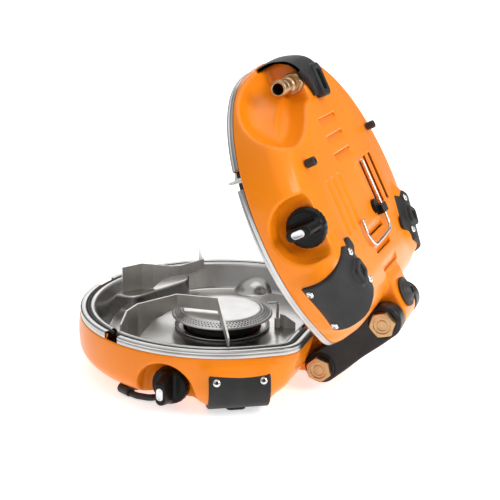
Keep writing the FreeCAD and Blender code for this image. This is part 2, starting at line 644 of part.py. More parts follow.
# ---- assembly -----------------------------------------------------------------------
def half_parts(upper):
    """Every piece of one half in its local frame, by plain name."""
    solid_bowl = bowl(0, False)
    screws = cover_screws()
    rod, sleeve = electrode()
    parts = {
        "shell": shell(upper),
        "rim_trim": rim_trim(),
        "gasket": gasket(),
        "tray": tray(upper),
        "mixer_tube": mixer_tube(),
        "valve_body": valve_body(),
        "gas_tube": gas_tube(),
        "manifold_block": manifold_block(),
        "electrode": rod,
        "electrode_sleeve": sleeve,
        "electrode_guard": electrode_guard(),
        "front_support": front_support(upper),
        "back_support": back_support(upper),
        "cover_screws": group(screws),
        "rubber_feet": group([round_foot()] + foot_posts()),
        "hinge_bolts": group([hinge_bolt(side) for side in (-1, 1)]),
        "hinge_washers": group([hinge_washer(side) for side in (-1, 1)]),
        "knob": knob(),
        "knob_badge": knob_badge(),
        "valve_stem": valve_stem(),
    }
    parts.update(burner_parts())
    for name in COVERS:
        parts[name + "_cover"] = cover(name, solid_bowl).cut(screws)
    return parts


def upper_place(shape):
    out = shape.mirror(V(0, 0, MIRROR_Z), UP)
    out.rotate(V(PIVOT_X, 0, PIVOT_Z + LINK_SPACING), V(0, 1, 0), LINK_DEG + HALF_DEG)
    out.translate(PIVOT_2 - V(PIVOT_X, 0, PIVOT_Z + LINK_SPACING))
    return out


def link_place(shape):
    out = shape.copy()
    out.rotate(PIVOT_1, V(0, 1, 0), LINK_DEG)
    return out


def main():
    os.makedirs("parts", exist_ok=True)
    nodes = {}
    for name, shape in half_parts(False).items():
        nodes["lower_" + name] = shape
    for name, shape in half_parts(True).items():
        nodes["upper_" + name] = upper_place(shape)
    nodes["lower_dust_cap"] = dust_cap()
    nodes["upper_port_fitting"] = upper_place(port_fitting())
    nodes["upper_wire_bail"] = upper_place(wire_bail())
    nodes["upper_wire_clip"] = upper_place(wire_clip())
    nodes["front_link_arm"] = link_place(link_arm(-1))
    nodes["rear_link_arm"] = link_place(link_arm(1))
    everything = group(nodes.values()).optimalBoundingBox(False)
    shift = V(-everything.Center.x, -everything.Center.y, 0)
    for name, shape in nodes.items():
        shape.translate(shift)
        shape.exportStep("parts/%s.step" % name)
    print("nodes", len(nodes))
    print("row shift", shift)
    print("lower pivot", PIVOT_1 + shift)
    print("upper pivot", PIVOT_2 + shift)


main()
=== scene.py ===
import json
import math

import bmesh
import bpy
import numpy as np
from mathutils import Matrix, Vector


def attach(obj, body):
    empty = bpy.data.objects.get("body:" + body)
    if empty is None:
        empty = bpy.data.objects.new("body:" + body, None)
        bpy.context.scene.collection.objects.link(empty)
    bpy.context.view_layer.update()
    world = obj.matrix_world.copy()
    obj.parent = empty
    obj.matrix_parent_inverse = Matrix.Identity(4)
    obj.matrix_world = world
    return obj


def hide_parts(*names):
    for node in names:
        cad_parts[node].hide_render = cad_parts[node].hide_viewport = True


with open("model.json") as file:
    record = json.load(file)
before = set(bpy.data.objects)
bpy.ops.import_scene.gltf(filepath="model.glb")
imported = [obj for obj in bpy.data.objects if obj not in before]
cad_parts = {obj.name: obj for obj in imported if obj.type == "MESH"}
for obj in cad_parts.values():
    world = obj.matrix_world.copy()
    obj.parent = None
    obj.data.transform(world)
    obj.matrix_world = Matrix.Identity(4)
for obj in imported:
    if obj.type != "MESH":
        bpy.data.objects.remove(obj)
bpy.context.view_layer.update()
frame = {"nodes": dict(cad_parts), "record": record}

MM = 0.001
RECORD = frame["record"]
NODES = frame["nodes"]

# ---- one half's own frame, in millimetres: x towards the hinge, y away from the front, z up
# The burner's axis is x = y = 0. The upper half is the same frame mirrored about MIRROR_Z and turned.
RIM_R = 132.0                          # round part of the rim
FLAT_X = 103.0                         # straight edge of the rim beside the hinge
TANGENT_DEG = 55.0                     # plan direction in which the round part ends
TANGENT = math.radians(TANGENT_DEG)
RIM_Z, MIRROR_Z = 59.5, 59.8           # top of the rim, and the plane between the closed halves
BASE_Z = 8.2                           # underside of the shell
TRAY_Z = 33.0                          # tray floor
SEAT_Z = 53.3                          # lower edge of the rim hem
RIM_GAP_Z = SEAT_Z - 0.3               # bottom of the shell's front gap
PIVOT_X, PIVOT_Z = 109.24, 22.95       # hinge bolt
LINK_DEG, HALF_DEG = 48.03, 15.38      # turns from closed to rest: the arms, and the upper half on them
ARM_IN, ARM_OUT, ARM_R = 22.0, 40.0, 15.0                    # a link arm's sides along y, its end radius
POCKET_X, POCKET_MID, POCKET_HALF = 93.2, 30.85, 10.35       # pockets in the shell for the link arms
POCKET, SEAL_POCKET, SEAL_POCKET_HALF = (20.5, 41.2), (18.8, 42.9), 12.05
KNOB_Y, KNOB_Z, KNOB_R = -122.0, 20.4, 16.5
RECESS_Y, RECESS_Z = -112.6, 17.8      # back wall of the knob recess, and the axis of its arch
PORT_X, PORT_Y, PORT_Z = -107.0, -18.7, 16.5                 # seat of the gas inlet
COVERS = {"front": (-60.0, -4.4), "back": (60.0, 4.4), "end": (180.0, -4.0)}     # direction, shift across
COVER_TOP = 41.0
CORNER_FOOT_U, END_FOOT_R = 108.0, 101.5                     # middles of the feet under the covers
BASE_SCREW_U, BASE_SCREW_T = 101.5, 16.5                     # screws under a corner cover
SHELL_SHEET, TRAY_SHEET = 1.5, 0.8
LOUVRES, LOUVRE_LENGTH = (38.0, 54.3, 70.6), 7.4             # far edges from the burner's axis
# Gaps as a plan direction in degrees and a half width: in the rim, in its seal, in the tray's lip.
FRONT_GAP, FAR_GAP = (-114.5, 8.5), (175.5, 13.0)
SEAL_GAP = (-115.5, 2.6)
NOTCH, NOTCH_R, NOTCH_Z = (-117.2, 5.0), 120.0, 51.5

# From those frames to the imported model, in metres: P1 and P2 are the hinge pivots of the two halves.
JOINTS = {j["name"]: j for j in RECORD["behaviour"]["joints"]}
P1 = Vector(JOINTS["link_fold"]["pos_m"])
P2 = Vector(JOINTS["upper_fold"]["pos_m"])
CLOSED_P2 = Vector((PIVOT_X, 0, 2 * MIRROR_Z - PIVOT_Z))
SHIFT = Matrix.Translation(P1 - Vector((PIVOT_X, 0, PIVOT_Z)) * MM)
LOWER = SHIFT @ Matrix.Scale(MM, 4)
FLIP = Matrix.Translation((0, 0, 2 * MIRROR_Z)) @ Matrix.Diagonal((1, 1, -1, 1))
UPPER = (Matrix.Translation(P2) @ Matrix.Rotation(math.radians(LINK_DEG + HALF_DEG), 4, "Y")
         @ Matrix.Scale(MM, 4) @ Matrix.Translation(-CLOSED_P2) @ FLIP)
LINK = (Matrix.Translation(P1) @ Matrix.Rotation(math.radians(LINK_DEG), 4, "Y")
        @ Matrix.Scale(MM, 4) @ Matrix.Translation((-PIVOT_X, 0, -PIVOT_Z)))
HALVES = {"lower": LOWER, "upper": UPPER}


# ---- camera
CAMERA_AZ, CAMERA_EL, CAMERA_ROLL = 20.36, 16.41, 0.54       # degrees
CAMERA_TARGET = (27.31, 0.0, 110.98)                         # lower half's frame, millimetres
CAMERA_DISTANCE = 0.96503                                    # metres
FOCAL_PX, IMAGE_PX, SENSOR_WIDTH = 1050.87, 500.0, 36.0      # focal length for a 500 pixel image


def make_camera():
    """Camera at the object's main view."""
    az, el, roll = (math.radians(angle) for angle in (CAMERA_AZ, CAMERA_EL, CAMERA_ROLL))
    back = Vector((math.sin(az) * math.cos(el), -math.cos(az) * math.cos(el), math.sin(el)))
    level = Vector((math.cos(az), math.sin(az), 0.0))
    upright = back.cross(level)
    right = level * math.cos(roll) + upright * math.sin(roll)
    up = upright * math.cos(roll) - level * math.sin(roll)
    at = SHIFT @ (Vector(CAMERA_TARGET) * MM) + back * CAMERA_DISTANCE
    data = bpy.data.cameras.new("photo_camera")
    data.sensor_width = SENSOR_WIDTH
    data.lens = FOCAL_PX * SENSOR_WIDTH / IMAGE_PX
    cam = bpy.data.objects.new("photo_camera", data)
    bpy.context.collection.objects.link(cam)
    cam.matrix_world = Matrix.Translation(at) @ Matrix((right, up, back)).transposed().to_4x4()
    bpy.context.scene.camera = cam


# ---- materials
def ramp_mix(nt, fac, low, high):
    """Colour between two tones, from a 0 to 1 value."""
    node = nt.nodes.new("ShaderNodeValToRGB")
    node.color_ramp.elements[0].color = (*low, 1)
    node.color_ramp.elements[1].color = (*high, 1)
    node.color_ramp.elements[0].position = 0.3
    node.color_ramp.elements[1].position = 0.7
    nt.links.new(fac, node.inputs["Fac"])
    return node.outputs["Color"]


def noise(nt, coords, scale, detail=3.0, stretch=(1, 1, 1)):
    mapping = nt.nodes.new("ShaderNodeMapping")
    mapping.inputs["Scale"].default_value = stretch
    nt.links.new(coords, mapping.inputs["Vector"])
    tex = nt.nodes.new("ShaderNodeTexNoise")
    tex.inputs["Scale"].default_value = scale
    tex.inputs["Detail"].default_value = detail
    nt.links.new(mapping.outputs["Vector"], tex.inputs["Vector"])
    return tex.outputs["Fac"]


def material(name, low, high, rough, metallic=0.0, blotch=40.0, grain=1500.0, bump=0.05,
             stretch=(1, 1, 1), coat=0.0, edge_tone=None, specular=0.5):
    """Procedural material: two-tone blotches, varied roughness, fine grain in the bump, a lighter colour on
    sharp convex edges.
    """
    mat = bpy.data.materials.new(name)
    mat.use_nodes = True
    nt = mat.node_tree
    bsdf = nt.nodes["Principled BSDF"]
    coords = nt.nodes.new("ShaderNodeTexCoord").outputs["Object"]
    colour = ramp_mix(nt, noise(nt, coords, blotch, 4.0), low, high)
    # Sharp convex edges (high pointiness) take the lighter edge_tone colour
    if edge_tone:
        geo = nt.nodes.new("ShaderNodeNewGeometry")
        edge = nt.nodes.new("ShaderNodeValToRGB")
        edge.color_ramp.elements[0].position = 0.53
        edge.color_ramp.elements[1].position = 0.62
        nt.links.new(geo.outputs["Pointiness"], edge.inputs["Fac"])
        mix = nt.nodes.new("ShaderNodeMix")
        mix.data_type = "RGBA"
        nt.links.new(edge.outputs["Color"], mix.inputs["Factor"])
        nt.links.new(colour, mix.inputs["A"])
        mix.inputs["B"].default_value = (*edge_tone, 1)
        colour = mix.outputs["Result"]
    nt.links.new(colour, bsdf.inputs["Base Color"])
    spread = nt.nodes.new("ShaderNodeMapRange")
    spread.inputs["To Min"].default_value = rough[0]
    spread.inputs["To Max"].default_value = rough[1]
    nt.links.new(noise(nt, coords, blotch * 2.3, 5.0, stretch), spread.inputs["Value"])
    nt.links.new(spread.outputs["Result"], bsdf.inputs["Roughness"])
    fine = noise(nt, coords, grain, 2.0, stretch)
    node = nt.nodes.new("ShaderNodeBump")
    node.inputs["Strength"].default_value = bump
    node.inputs["Distance"].default_value = 0.0004
    nt.links.new(fine, node.inputs["Height"])
    nt.links.new(node.outputs["Normal"], bsdf.inputs["Normal"])
    bsdf.inputs["Metallic"].default_value = metallic
    bsdf.inputs["Coat Weight"].default_value = coat
    bsdf.inputs["Coat Roughness"].default_value = 0.06
    bsdf.inputs["Specular IOR Level"].default_value = specular
    return mat


MATS = {
    "orange_paint": material("orange_paint", (0.86, 0.220, 0.004), (0.92, 0.250, 0.006), (0.24, 0.36),
                             blotch=14, grain=420, bump=0.03, coat=0.16, specular=0.22),
    "trim_steel": material("trim_steel", (0.48, 0.48, 0.47), (0.56, 0.56, 0.55), (0.24, 0.36), 1.0,
                           blotch=60, grain=900, bump=0.008),
    "gasket_rubber": material("gasket_rubber", (0.010, 0.010, 0.010), (0.022, 0.021, 0.020), (0.5, 0.7),
                              blotch=90),
    "tray_steel": material("tray_steel", (0.40, 0.388, 0.375), (0.50, 0.488, 0.475), (0.18, 0.30), 1.0,
                           blotch=30, grain=500, bump=0.02, stretch=(1, 5, 1)),
    # near-black steel; on the burner's core and throat this darkness is painted shade inside and under the
    # burner head
    "dark_steel": material("dark_steel", (0.045, 0.042, 0.040), (0.09, 0.085, 0.08), (0.35, 0.55), 0.8),
    "brass": material("brass", (0.43, 0.262, 0.125), (0.53, 0.335, 0.175), (0.28, 0.40), 1.0,
                      blotch=180, grain=1300, bump=0.03),
    "copper": material("copper", (0.62, 0.32, 0.20), (0.75, 0.42, 0.28), (0.22, 0.4), 1.0, blotch=120),
    "aluminium_block": material("aluminium_block", (0.55, 0.55, 0.56), (0.68, 0.68, 0.69), (0.3, 0.45), 1.0),
    "burner_steel": material("burner_steel", (0.52, 0.51, 0.50), (0.62, 0.61, 0.60), (0.26, 0.38), 1.0,
                             blotch=50, grain=700, bump=0.03),
    "white_ceramic": material("white_ceramic", (0.72, 0.70, 0.65), (0.82, 0.80, 0.76), (0.2, 0.35),
                              coat=0.4),
    # pot supports: lighter colour on their sharp convex edges
    "support_steel": material("support_steel", (0.66, 0.63, 0.59), (0.78, 0.75, 0.71), (0.34, 0.50), 0.9,
                              blotch=70, grain=800, bump=0.08, edge_tone=(0.80, 0.78, 0.75)),
    "screw_steel": material("screw_steel", (0.62, 0.62, 0.62), (0.76, 0.76, 0.76), (0.18, 0.3), 1.0,
                            blotch=300, bump=0.01),
    "foot_rubber": material("foot_rubber", (0.013, 0.013, 0.013), (0.026, 0.026, 0.026), (0.42, 0.58),
                            blotch=120, grain=1800, bump=0.12),
    "knob_plastic": material("knob_plastic", (0.003, 0.003, 0.003), (0.006, 0.006, 0.006), (0.30, 0.42),
                             blotch=120, grain=1500, bump=0.04, specular=0.18),
    "badge_metal": material("badge_metal", (0.60, 0.60, 0.61), (0.74, 0.74, 0.75), (0.25, 0.4), 1.0,
                            blotch=400),
    "cover_rubber": material("cover_rubber", (0.014, 0.014, 0.014), (0.023, 0.023, 0.023), (0.46, 0.60),
                             blotch=60, grain=1700, bump=0.18, specular=0.3),
    "wire_steel": material("wire_steel", (0.60, 0.60, 0.60), (0.76, 0.76, 0.75), (0.12, 0.24), 1.0,
                           blotch=200),
    "arm_rubber": material("arm_rubber", (0.008, 0.0075, 0.007), (0.016, 0.015, 0.014), (0.28, 0.44),
                           blotch=70, grain=1400, bump=0.08, specular=0.3),
    # near-black colour for the discs in the screw sockets: painted shade in each head's hollow, the screws
    # being bright steel
    "slot_dark": material("slot_dark", (0.008, 0.007, 0.006), (0.016, 0.014, 0.012), (0.5, 0.7), blotch=90),
}


# ---- making pieces
def add_mesh(name, verts, faces, place, mat, body, replaces=(), smooth_deg=35.0, slot=None):
    """A piece from local vertices in millimetres, put where its half stands."""
    mesh = bpy.data.meshes.new(name)
    v = np.asarray(verts, dtype=np.float64)
    m = np.array(place)
    w = v @ m[:3, :3].T + m[:3, 3]
    if np.linalg.det(m[:3, :3]) < 0:
        faces = [tuple(reversed(f)) for f in faces]
    mesh.from_pydata(w.tolist(), [], [tuple(int(i) for i in f) for f in faces])
    mesh.validate()
    mesh.materials.append(MATS[mat])
    mesh.shade_smooth()
    mesh.set_sharp_from_angle(angle=math.radians(smooth_deg))
    obj = bpy.data.objects.new(name, mesh)
    bpy.context.collection.objects.link(obj)
    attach(obj, body)
    if replaces:
        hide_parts(*replaces)
    return obj


def merge(parts):
    """Several (verts, faces) in one."""
    verts, faces, base = [], [], 0
    for v, f in parts:
        v = np.asarray(v, dtype=float)
        verts.append(v)
        faces += [tuple(i + base for i in face) for face in f]
        base += len(v)
    return np.vstack(verts), faces


def transformed(part, matrix):
    """A (verts, faces) part moved by a matrix."""
    v, f = part
    m = np.array(matrix)
    return np.asarray(v) @ m[:3, :3].T + m[:3, 3], f


def grid_faces(rows, cols, wrap_rows=False, wrap_cols=False):
    """Quads over a grid of vertices that are listed row by row."""
    faces = []
    for i in range(rows if wrap_rows else rows - 1):
        for j in range(cols if wrap_cols else cols - 1):
            a, b = i, (i + 1) % rows
            c, d = j, (j + 1) % cols
            faces.append((a * cols + c, b * cols + c, b * cols + d, a * cols + d))
    return faces


def lathe(profile, n=96):
    """Surface of revolution about local Z from (r, z) points; ends at r = 0 are closed."""
    pts = [(max(r, 0.0), z) for r, z in profile]
    verts = []
    for k in range(n):
        c, s = math.cos(2 * math.pi * k / n), math.sin(2 * math.pi * k / n)
        verts += [(r * c, r * s, z) for r, z in pts]
    faces = [f[::-1] for f in grid_faces(n, len(pts), wrap_rows=True)]
    return np.array(verts), faces


def tube(points, radius, n=14):
    """Round bar along a smooth line of points."""
    pts = np.asarray(points, dtype=float)
    tang = np.gradient(pts, axis=0)
    tang /= np.linalg.norm(tang, axis=1)[:, None]
    side = np.cross(tang[0], (0.31, 0.52, 0.79))
    verts = []
    for p, t in zip(pts, tang):
        side = side - t * np.dot(side, t)
        side /= np.linalg.norm(side)
        up = np.cross(t, side)
        verts += [p + radius * (math.cos(a) * side + math.sin(a) * up)
                  for a in np.linspace(0, 2 * math.pi, n, endpoint=False)]
    faces = [f[::-1] for f in grid_faces(len(pts), n, wrap_cols=True)]
    faces.append(tuple(range(n)))
    faces.append(tuple(reversed(range(len(verts) - n, len(verts)))))
    return np.array(verts), faces


def round_path(points, radius, steps=8):
    """Points along straight runs with each corner rounded."""
    pts = [Vector(p) for p in points]
    out = [pts[0]]
    for a, b, c in zip(pts, pts[1:], pts[2:]):
        d1, d2 = (b - a).normalized(), (c - b).normalized()
        cut = min(radius * math.tan(d1.angle(d2) / 2), (b - a).length / 2.2, (c - b).length / 2.2)
        p, q = b - d1 * cut, b + d2 * cut
        for k in range(steps + 1):
            t = k / steps
            out.append(p * (1 - t) ** 2 + b * 2 * t * (1 - t) + q * t ** 2)
    out.append(pts[-1])
    return [tuple(p) for p in out]


# ---- smooth solids from distance fields
def smin(a, b, k):
    """Union of two solids with a fillet of width k."""
    h = np.clip(0.5 + 0.5 * (b - a) / k, 0, 1)
    return b * (1 - h) + a * h - k * h * (1 - h)


def smax(a, b, k):
    """Intersection of two solids with a softened edge of width k."""
    return -smin(-a, -b, k)


def rmax(a, b, r):
    """Intersection of two solids with a rounded edge of radius r."""
    inner = np.minimum(np.maximum(a + r, b + r), 0)
    return inner + np.hypot(np.maximum(a + r, 0), np.maximum(b + r, 0)) - r


def slot(u, v, reach, width, radius):
    """Distance outside a rectangle of half sizes reach and width, grown by radius."""
    return np.hypot(np.maximum(np.abs(u) - reach, 0), np.maximum(np.abs(v) - width, 0)) - radius


def turned(x, y, degrees):
    """Coordinates along and across a plan direction."""
    c, s = math.cos(math.radians(degrees)), math.sin(math.radians(degrees))
    return x * c + y * s, -x * s + y * c


def turned_back(u, t, degrees):
    """The reverse of turned()."""
    c, s = math.cos(math.radians(degrees)), math.sin(math.radians(degrees))
    return u * c - t * s, u * s + t * c


def half_plane(u, v, a, b):
    """Signed distance to the line a-b, positive to its right."""
    du, dv = b[0] - a[0], b[1] - a[1]
    n = math.hypot(du, dv)
    return ((u - a[0]) * dv - (v - a[1]) * du) / n


def convex(u, v, pts, k=1.0):
    """Signed distance to a convex counter-clockwise polygon with softened corners."""
    d = half_plane(u, v, pts[-1], pts[0])
    for a, b in zip(pts, pts[1:]):
        d = smax(d, half_plane(u, v, a, b), k)
    return d


def cell(coarse, fine):
    return fine


def surface_nets(field, low, high, h):
    """Quad mesh of field(x, y, z) = 0 inside a box, open where the box cuts the solid."""
    axes = [np.arange(a, b + h * 0.5, h) for a, b in zip(low, high)]
    X, Y, Z = np.meshgrid(*axes, indexing="ij")
    f = field(X, Y, Z)
    inside = f < 0
    shape = np.array(f.shape) - 1
    total = np.zeros(tuple(shape) + (3,))
    count = np.zeros(tuple(shape))
    corners = [(i, j, k) for i in (0, 1) for j in (0, 1) for k in (0, 1)]

    def cut(c):
        return tuple(slice(o, o + s) for o, s in zip(c, shape))

    for c in corners:
        for axis in range(3):
            if c[axis]:
                continue
            e = list(c)
            e[axis] = 1
            fa, fb = f[cut(c)], f[cut(e)]
            cross = inside[cut(c)] != inside[cut(e)]
            t = np.where(cross, fa / np.where(cross, fa - fb, 1.0), 0.0)
            for ax in range(3):
                total[..., ax] += np.where(cross, c[ax] + (t if ax == axis else 0.0), 0.0)
            count += cross
    used = count > 0
    index = -np.ones(tuple(shape), dtype=np.int64)
    index[used] = np.arange(used.sum())
    cells = np.argwhere(used)
    verts = (cells + total[used] / count[used][:, None]) * h + np.array(low)
    quads = []
    for axis in range(3):
        b, c = (axis + 1) % 3, (axis + 2) % 3
        e = [slice(None)] * 3
        e[axis] = slice(0, -1)
        g = [slice(None)] * 3
        g[axis] = slice(1, None)
        edge = inside[tuple(e)] != inside[tuple(g)]
        at = np.argwhere(edge)
        at = at[(at[:, b] > 0) & (at[:, c] > 0)
                & (at[:, b] < f.shape[b] - 1) & (at[:, c] < f.shape[c] - 1)]
        sign = inside[tuple(e)][tuple(at.T)]
        ring = []
        for db, dc in ((0, 0), (-1, 0), (-1, -1), (0, -1)):
            cell = at.copy()
            cell[:, b] += db
            cell[:, c] += dc
            ring.append(index[tuple(cell.T)])
        ring = np.stack(ring, axis=1)
        ring = np.where(sign[:, None], ring, ring[:, ::-1])
        quads.append(ring)
    quads = np.vstack(quads)
    eps = h * 0.05
    # A few capped Newton steps put the vertices on the surface.
    for _ in range(3):
        d0 = field(*verts.T)
        grad = np.stack([(field(*(verts + nudge).T) - field(*(verts - nudge).T)) / (2 * eps)
                         for nudge in eps * np.eye(3)], axis=1)
        step = grad * (d0 / np.maximum((grad ** 2).sum(1), 0.2))[:, None]
        size = np.linalg.norm(step, axis=1)
        step *= np.minimum(1.0, 0.4 * h / np.maximum(size, 1e-9))[:, None]
        verts = verts - step
    return verts, quads


# ---- shell
def plan_distance(X, Y):
    """Distance outside the round plan with its two straight corners, before the hinge side."""
    r = np.hypot(X, Y)
    straight = X * math.cos(TANGENT) + np.abs(Y) * math.sin(TANGENT) - RIM_R
    return np.where(np.arctan2(np.abs(Y), X) < TANGENT, straight, r - RIM_R)


def wall_radius(Z):
    """Radius of the shell's wall: slightly bulged, and stepped in where the hem goes over it."""
    bulge = 133.9 - 1.7 * np.minimum(((Z - 36.0) / (SEAT_Z - 36.0)) ** 2, 1.5)
    step = np.clip((Z - SEAT_Z + 0.6) / 0.8, 0, 1)
    return bulge - 1.7 * step


def cover_axes(X, Y, name):
    """Coordinates along and across a cover."""
    angle, shift = COVERS[name]
    u, t = turned(X, Y, angle)
    return u, t - shift


LOBE = [(92, 8.6), (100, 5.0), (117, 5.6), (129.0, 11.5), (135.6, 21), (136.6, 31.5), (131.0, 47), (92, 47)]


def lobe(X, Y, Z, name):
    """Bulge of the shell under a corner cover."""
    u, t = cover_axes(X, Y, name)
    return rmax(convex(u, Z, LOBE, 3.0), np.abs(t) - 28.6, 8.0)


def end_line(X, Y, Z, depth):
    """Inside of the end cover's skin, as a solid of the round profile moved in by depth."""
    r = np.hypot(X, Y)
    pts = [(0, 8.0), (118.0, 8.0), (127.6 - depth, 12.6), (132.6 - depth, 22), (133.9 - depth, 32),
           (132.5 - depth, 41.1), (132.0 - depth, 60), (0, 60)]
    return convex(r, Z, pts, 1.2)


def end_angle(X, Y):
    """Distance round the rim from the middle of the end cover."""
    return np.arctan2(-Y, -X) * RIM_R + COVERS["end"][1]


def scoop(X, Y, Z):
    """Hollow round the gas inlet: an egg and a well, kept clear of the tray."""
    tx, ty = 0.54, -0.84
    dx, dy, dz = X + 110.0, Y + 70.0, Z - 7.0
    t = dx * tx + dy * ty
    q = np.sqrt(np.maximum(dx ** 2 + dy ** 2 + dz ** 2 - t ** 2, 0.0))
    egg = (np.sqrt((t / 64.0) ** 2 + (q / 41.0) ** 2) - 1.0) * 40.0
    well = np.hypot(X + 116.6, Z - 9.4) - 25.0
    well = rmax(well, -60.0 - Y, 10.0)
    tray_side = (np.hypot(X, Y) - 104.5 - (Z - 32.0) * 0.588) * 0.862
    tray = np.maximum(tray_side, 31.0 - Z) - 3.0
    return rmax(rmax(smin(egg, well, 10.0), Y - (PORT_Y + 0.3), 4.0), -tray, 5.0)


def shell_field(upper):
    def field(X, Y, Z):
        # bowl, with its sloped hinge side
        plan = plan_distance(X, Y)
        bottom = BASE_Z + 1.4 * np.clip((plan + RIM_R - 84.0) / 30.0, 0, 1) - Z
        d = rmax(plan + RIM_R - wall_radius(Z), bottom, 17.0)
        slope_a = (X - 103.0) * 0.953 - (Z - 50.0) * 0.303
        slope_a = smax(slope_a, X - np.where(Z > SEAT_Z, 101.6, 103.0), 2.0)
        slope_b = (X - 92.5) * 0.5756 - (Z - 17.0) * 0.8176
        d = rmax(d, rmax(slope_a, slope_b, 9.0), 11.0)
        for name in ("front", "back"):
            d = smin(d, lobe(X, Y, Z, name), 9.0)
        # hinge nose between two pockets for the link arms
        seg = np.clip((X - 82.0) / (PIVOT_X - 82.0), 0, 1)
        nose = np.hypot(X - 82.0 - seg * (PIVOT_X - 82.0), Z - PIVOT_Z) - 14.75
        d = smin(d, rmax(nose, np.abs(Y) - 20.4, 3.0), 4.0)
        pocket = rmax(POCKET_X - X, np.abs(np.abs(Y) - POCKET_MID) - POCKET_HALF, 4.0)
        d = smax(d, -pocket, 2.0)
        # arched knob recess that widens to the front
        deep = RECESS_Y - Y
        flare = 20.0 + 6.0 * np.clip(deep / 5.5, 0, 1) + 2.5 * np.clip((deep - 5.5) / 28.5, 0, 1)
        arch = (np.where(Z > RECESS_Z, np.hypot(X, Z - RECESS_Z), np.abs(X)) - flare) * 0.8
        d = smax(d, -rmax(arch, -deep, 2.0), 2.6)
        # seat of the end cover
        seat = rmax(-end_line(X, Y, Z, 2.5), np.abs(end_angle(X, Y)) - 26.2, 3.0)
        seat = rmax(seat, Z - 41.2, 2.0)
        d = smax(d, -np.maximum(seat, X + 60.0), 0.8)
        if upper:
            d = smax(d, -scoop(X, Y, Z), 4.5)
            hole = np.maximum(np.hypot(X - PORT_X, Z - PORT_Z) - 6.9, Y + 8.0)
            d = np.maximum(d, -hole)
        for quarter in range(4):
            u, v = turned(X, Y, 90 * quarter)
            for radius in LOUVRES:
                depth = 3.4 * np.clip((u - radius + 7.0) / 7.0, 0, 1)
                cutter = np.maximum(np.maximum(u - radius, radius - LOUVRE_LENGTH - u),
                                    np.maximum(np.abs(v) - 23.0, Z - BASE_Z - depth))
                d = smax(d, -cutter, 0.7)
        return d
    return field


def make_sheet(obj, thickness):
    """Gives an open surface its sheet thickness in millimetres, inwards."""
    solid = obj.modifiers.new("sheet", "SOLIDIFY")
    solid.thickness = thickness * MM
    solid.offset = -1.0


def louvre_slit(centres, normals):
    """Which faces of the shell are the open slit of a louvre."""
    gone = np.zeros(len(centres), dtype=bool)
    height = centres[:, 2] - BASE_Z
    for quarter in range(4):
        u, v = turned(centres[:, 0], centres[:, 1], 90 * quarter)
        facing = np.abs(turned(normals[:, 0], normals[:, 1], 90 * quarter)[0]) > 0.45
        for radius in LOUVRES:
            gone |= ((np.abs(u - radius) < 1.2) & (np.abs(v) < 22.4) & facing
                     & (height > 0.7) & (height < 4.2))
    return gone


def make_shell(half):
    h = cell(1.7, 1.15)
    verts, quads = surface_nets(shell_field(half == "upper"), (-138, -141, 3.5), (128, 141, 58.0), h)
    p = verts[quads]
    centres = p.mean(axis=1)
    normals = np.cross(p[:, 2] - p[:, 0], p[:, 3] - p[:, 1])
    normals /= np.maximum(np.linalg.norm(normals, axis=1), 1e-9)[:, None]
    # front gap: its faces go, and the edge that they leave is put on straight lines
    angle, half_w = FRONT_GAP
    u, t = turned(centres[:, 0], centres[:, 1], angle)
    gap = (u > 110) & (np.abs(t) < half_w) & (centres[:, 2] > RIM_GAP_Z)
    keep = ~louvre_slit(centres, normals) & ~gap
    edge = np.intersect1d(quads[gap], quads[keep])
    u, t = turned(verts[edge, 0], verts[edge, 1], angle)
    low = (verts[edge, 2] < RIM_GAP_Z + h) & (np.abs(t) < half_w - 0.6)
    t = np.where(low, t, np.sign(t) * half_w)
    verts[edge, 0], verts[edge, 1] = turned_back(u, t, angle)
    verts[edge, 2] = np.where(low | (verts[edge, 2] < RIM_GAP_Z), RIM_GAP_Z, verts[edge, 2])
    obj = add_mesh(half + "_shell_skin", verts, quads[keep].tolist(), HALVES[half], "orange_paint",
                   half + "_half", [half + "_shell"], smooth_deg=50)
    make_sheet(obj, SHELL_SHEET)


# ---- plan outline for the rim, gasket and tray
def arc_degrees():
    """Plan directions of the round part's points, with the rim gaps' edges among them."""
    stops = [TANGENT_DEG, 360.0 - TANGENT_DEG]
    for (angle, half), r in ((FAR_GAP, RIM_R), (FRONT_GAP, RIM_R), (SEAL_GAP, RIM_R), (NOTCH, NOTCH_R)):
        spread = math.degrees(half / r)
        stops += [angle % 360 - spread, angle % 360 + spread]
    stops.sort()
    out = []
    for a, b in zip(stops, stops[1:]):
        n = max(1, int(round((b - a) / 1.1)))
        out += [a + (b - a) * k / n for k in range(n)]
    return out + [360.0 - TANGENT_DEG]


ARC = arc_degrees()


def outline(inset):
    """Plan points at one inset, always the same number and order."""
    r, flat = RIM_R - inset, FLAT_X - inset
    a = TANGENT
    run = (flat - r * math.cos(a)) / math.sin(a)
    corner_y = r * math.sin(a) - run * math.cos(a)
    rc = max(26.0 - inset, 12.0)
    tl = rc * math.tan(a / 2)
    pts = [(r * math.cos(math.radians(t)), r * math.sin(math.radians(t))) for t in ARC]
    end = (flat - tl * math.sin(a), corner_y + tl * math.cos(a))
    touch = (r * math.cos(a), r * math.sin(a))
    bend = [(flat - rc + rc * math.cos(t), corner_y - tl + rc * math.sin(t)) for t in np.linspace(a, 0, 12)]
    line = [(touch[0] + (end[0] - touch[0]) * k / 10, touch[1] + (end[1] - touch[1]) * k / 10)
            for k in range(1, 10)]
    start = corner_y - tl
    side = [(flat, y) for y in (start * 0.75 + 10.8, start * 0.3 + 30, SEAL_POCKET[1], POCKET[1], 36, 31, 26,
                                POCKET[0], SEAL_POCKET[0], 12, 6, 1.5)]
    rear = line + bend + side
    return pts + [(x, -y) for x, y in rear] + rear[::-1]


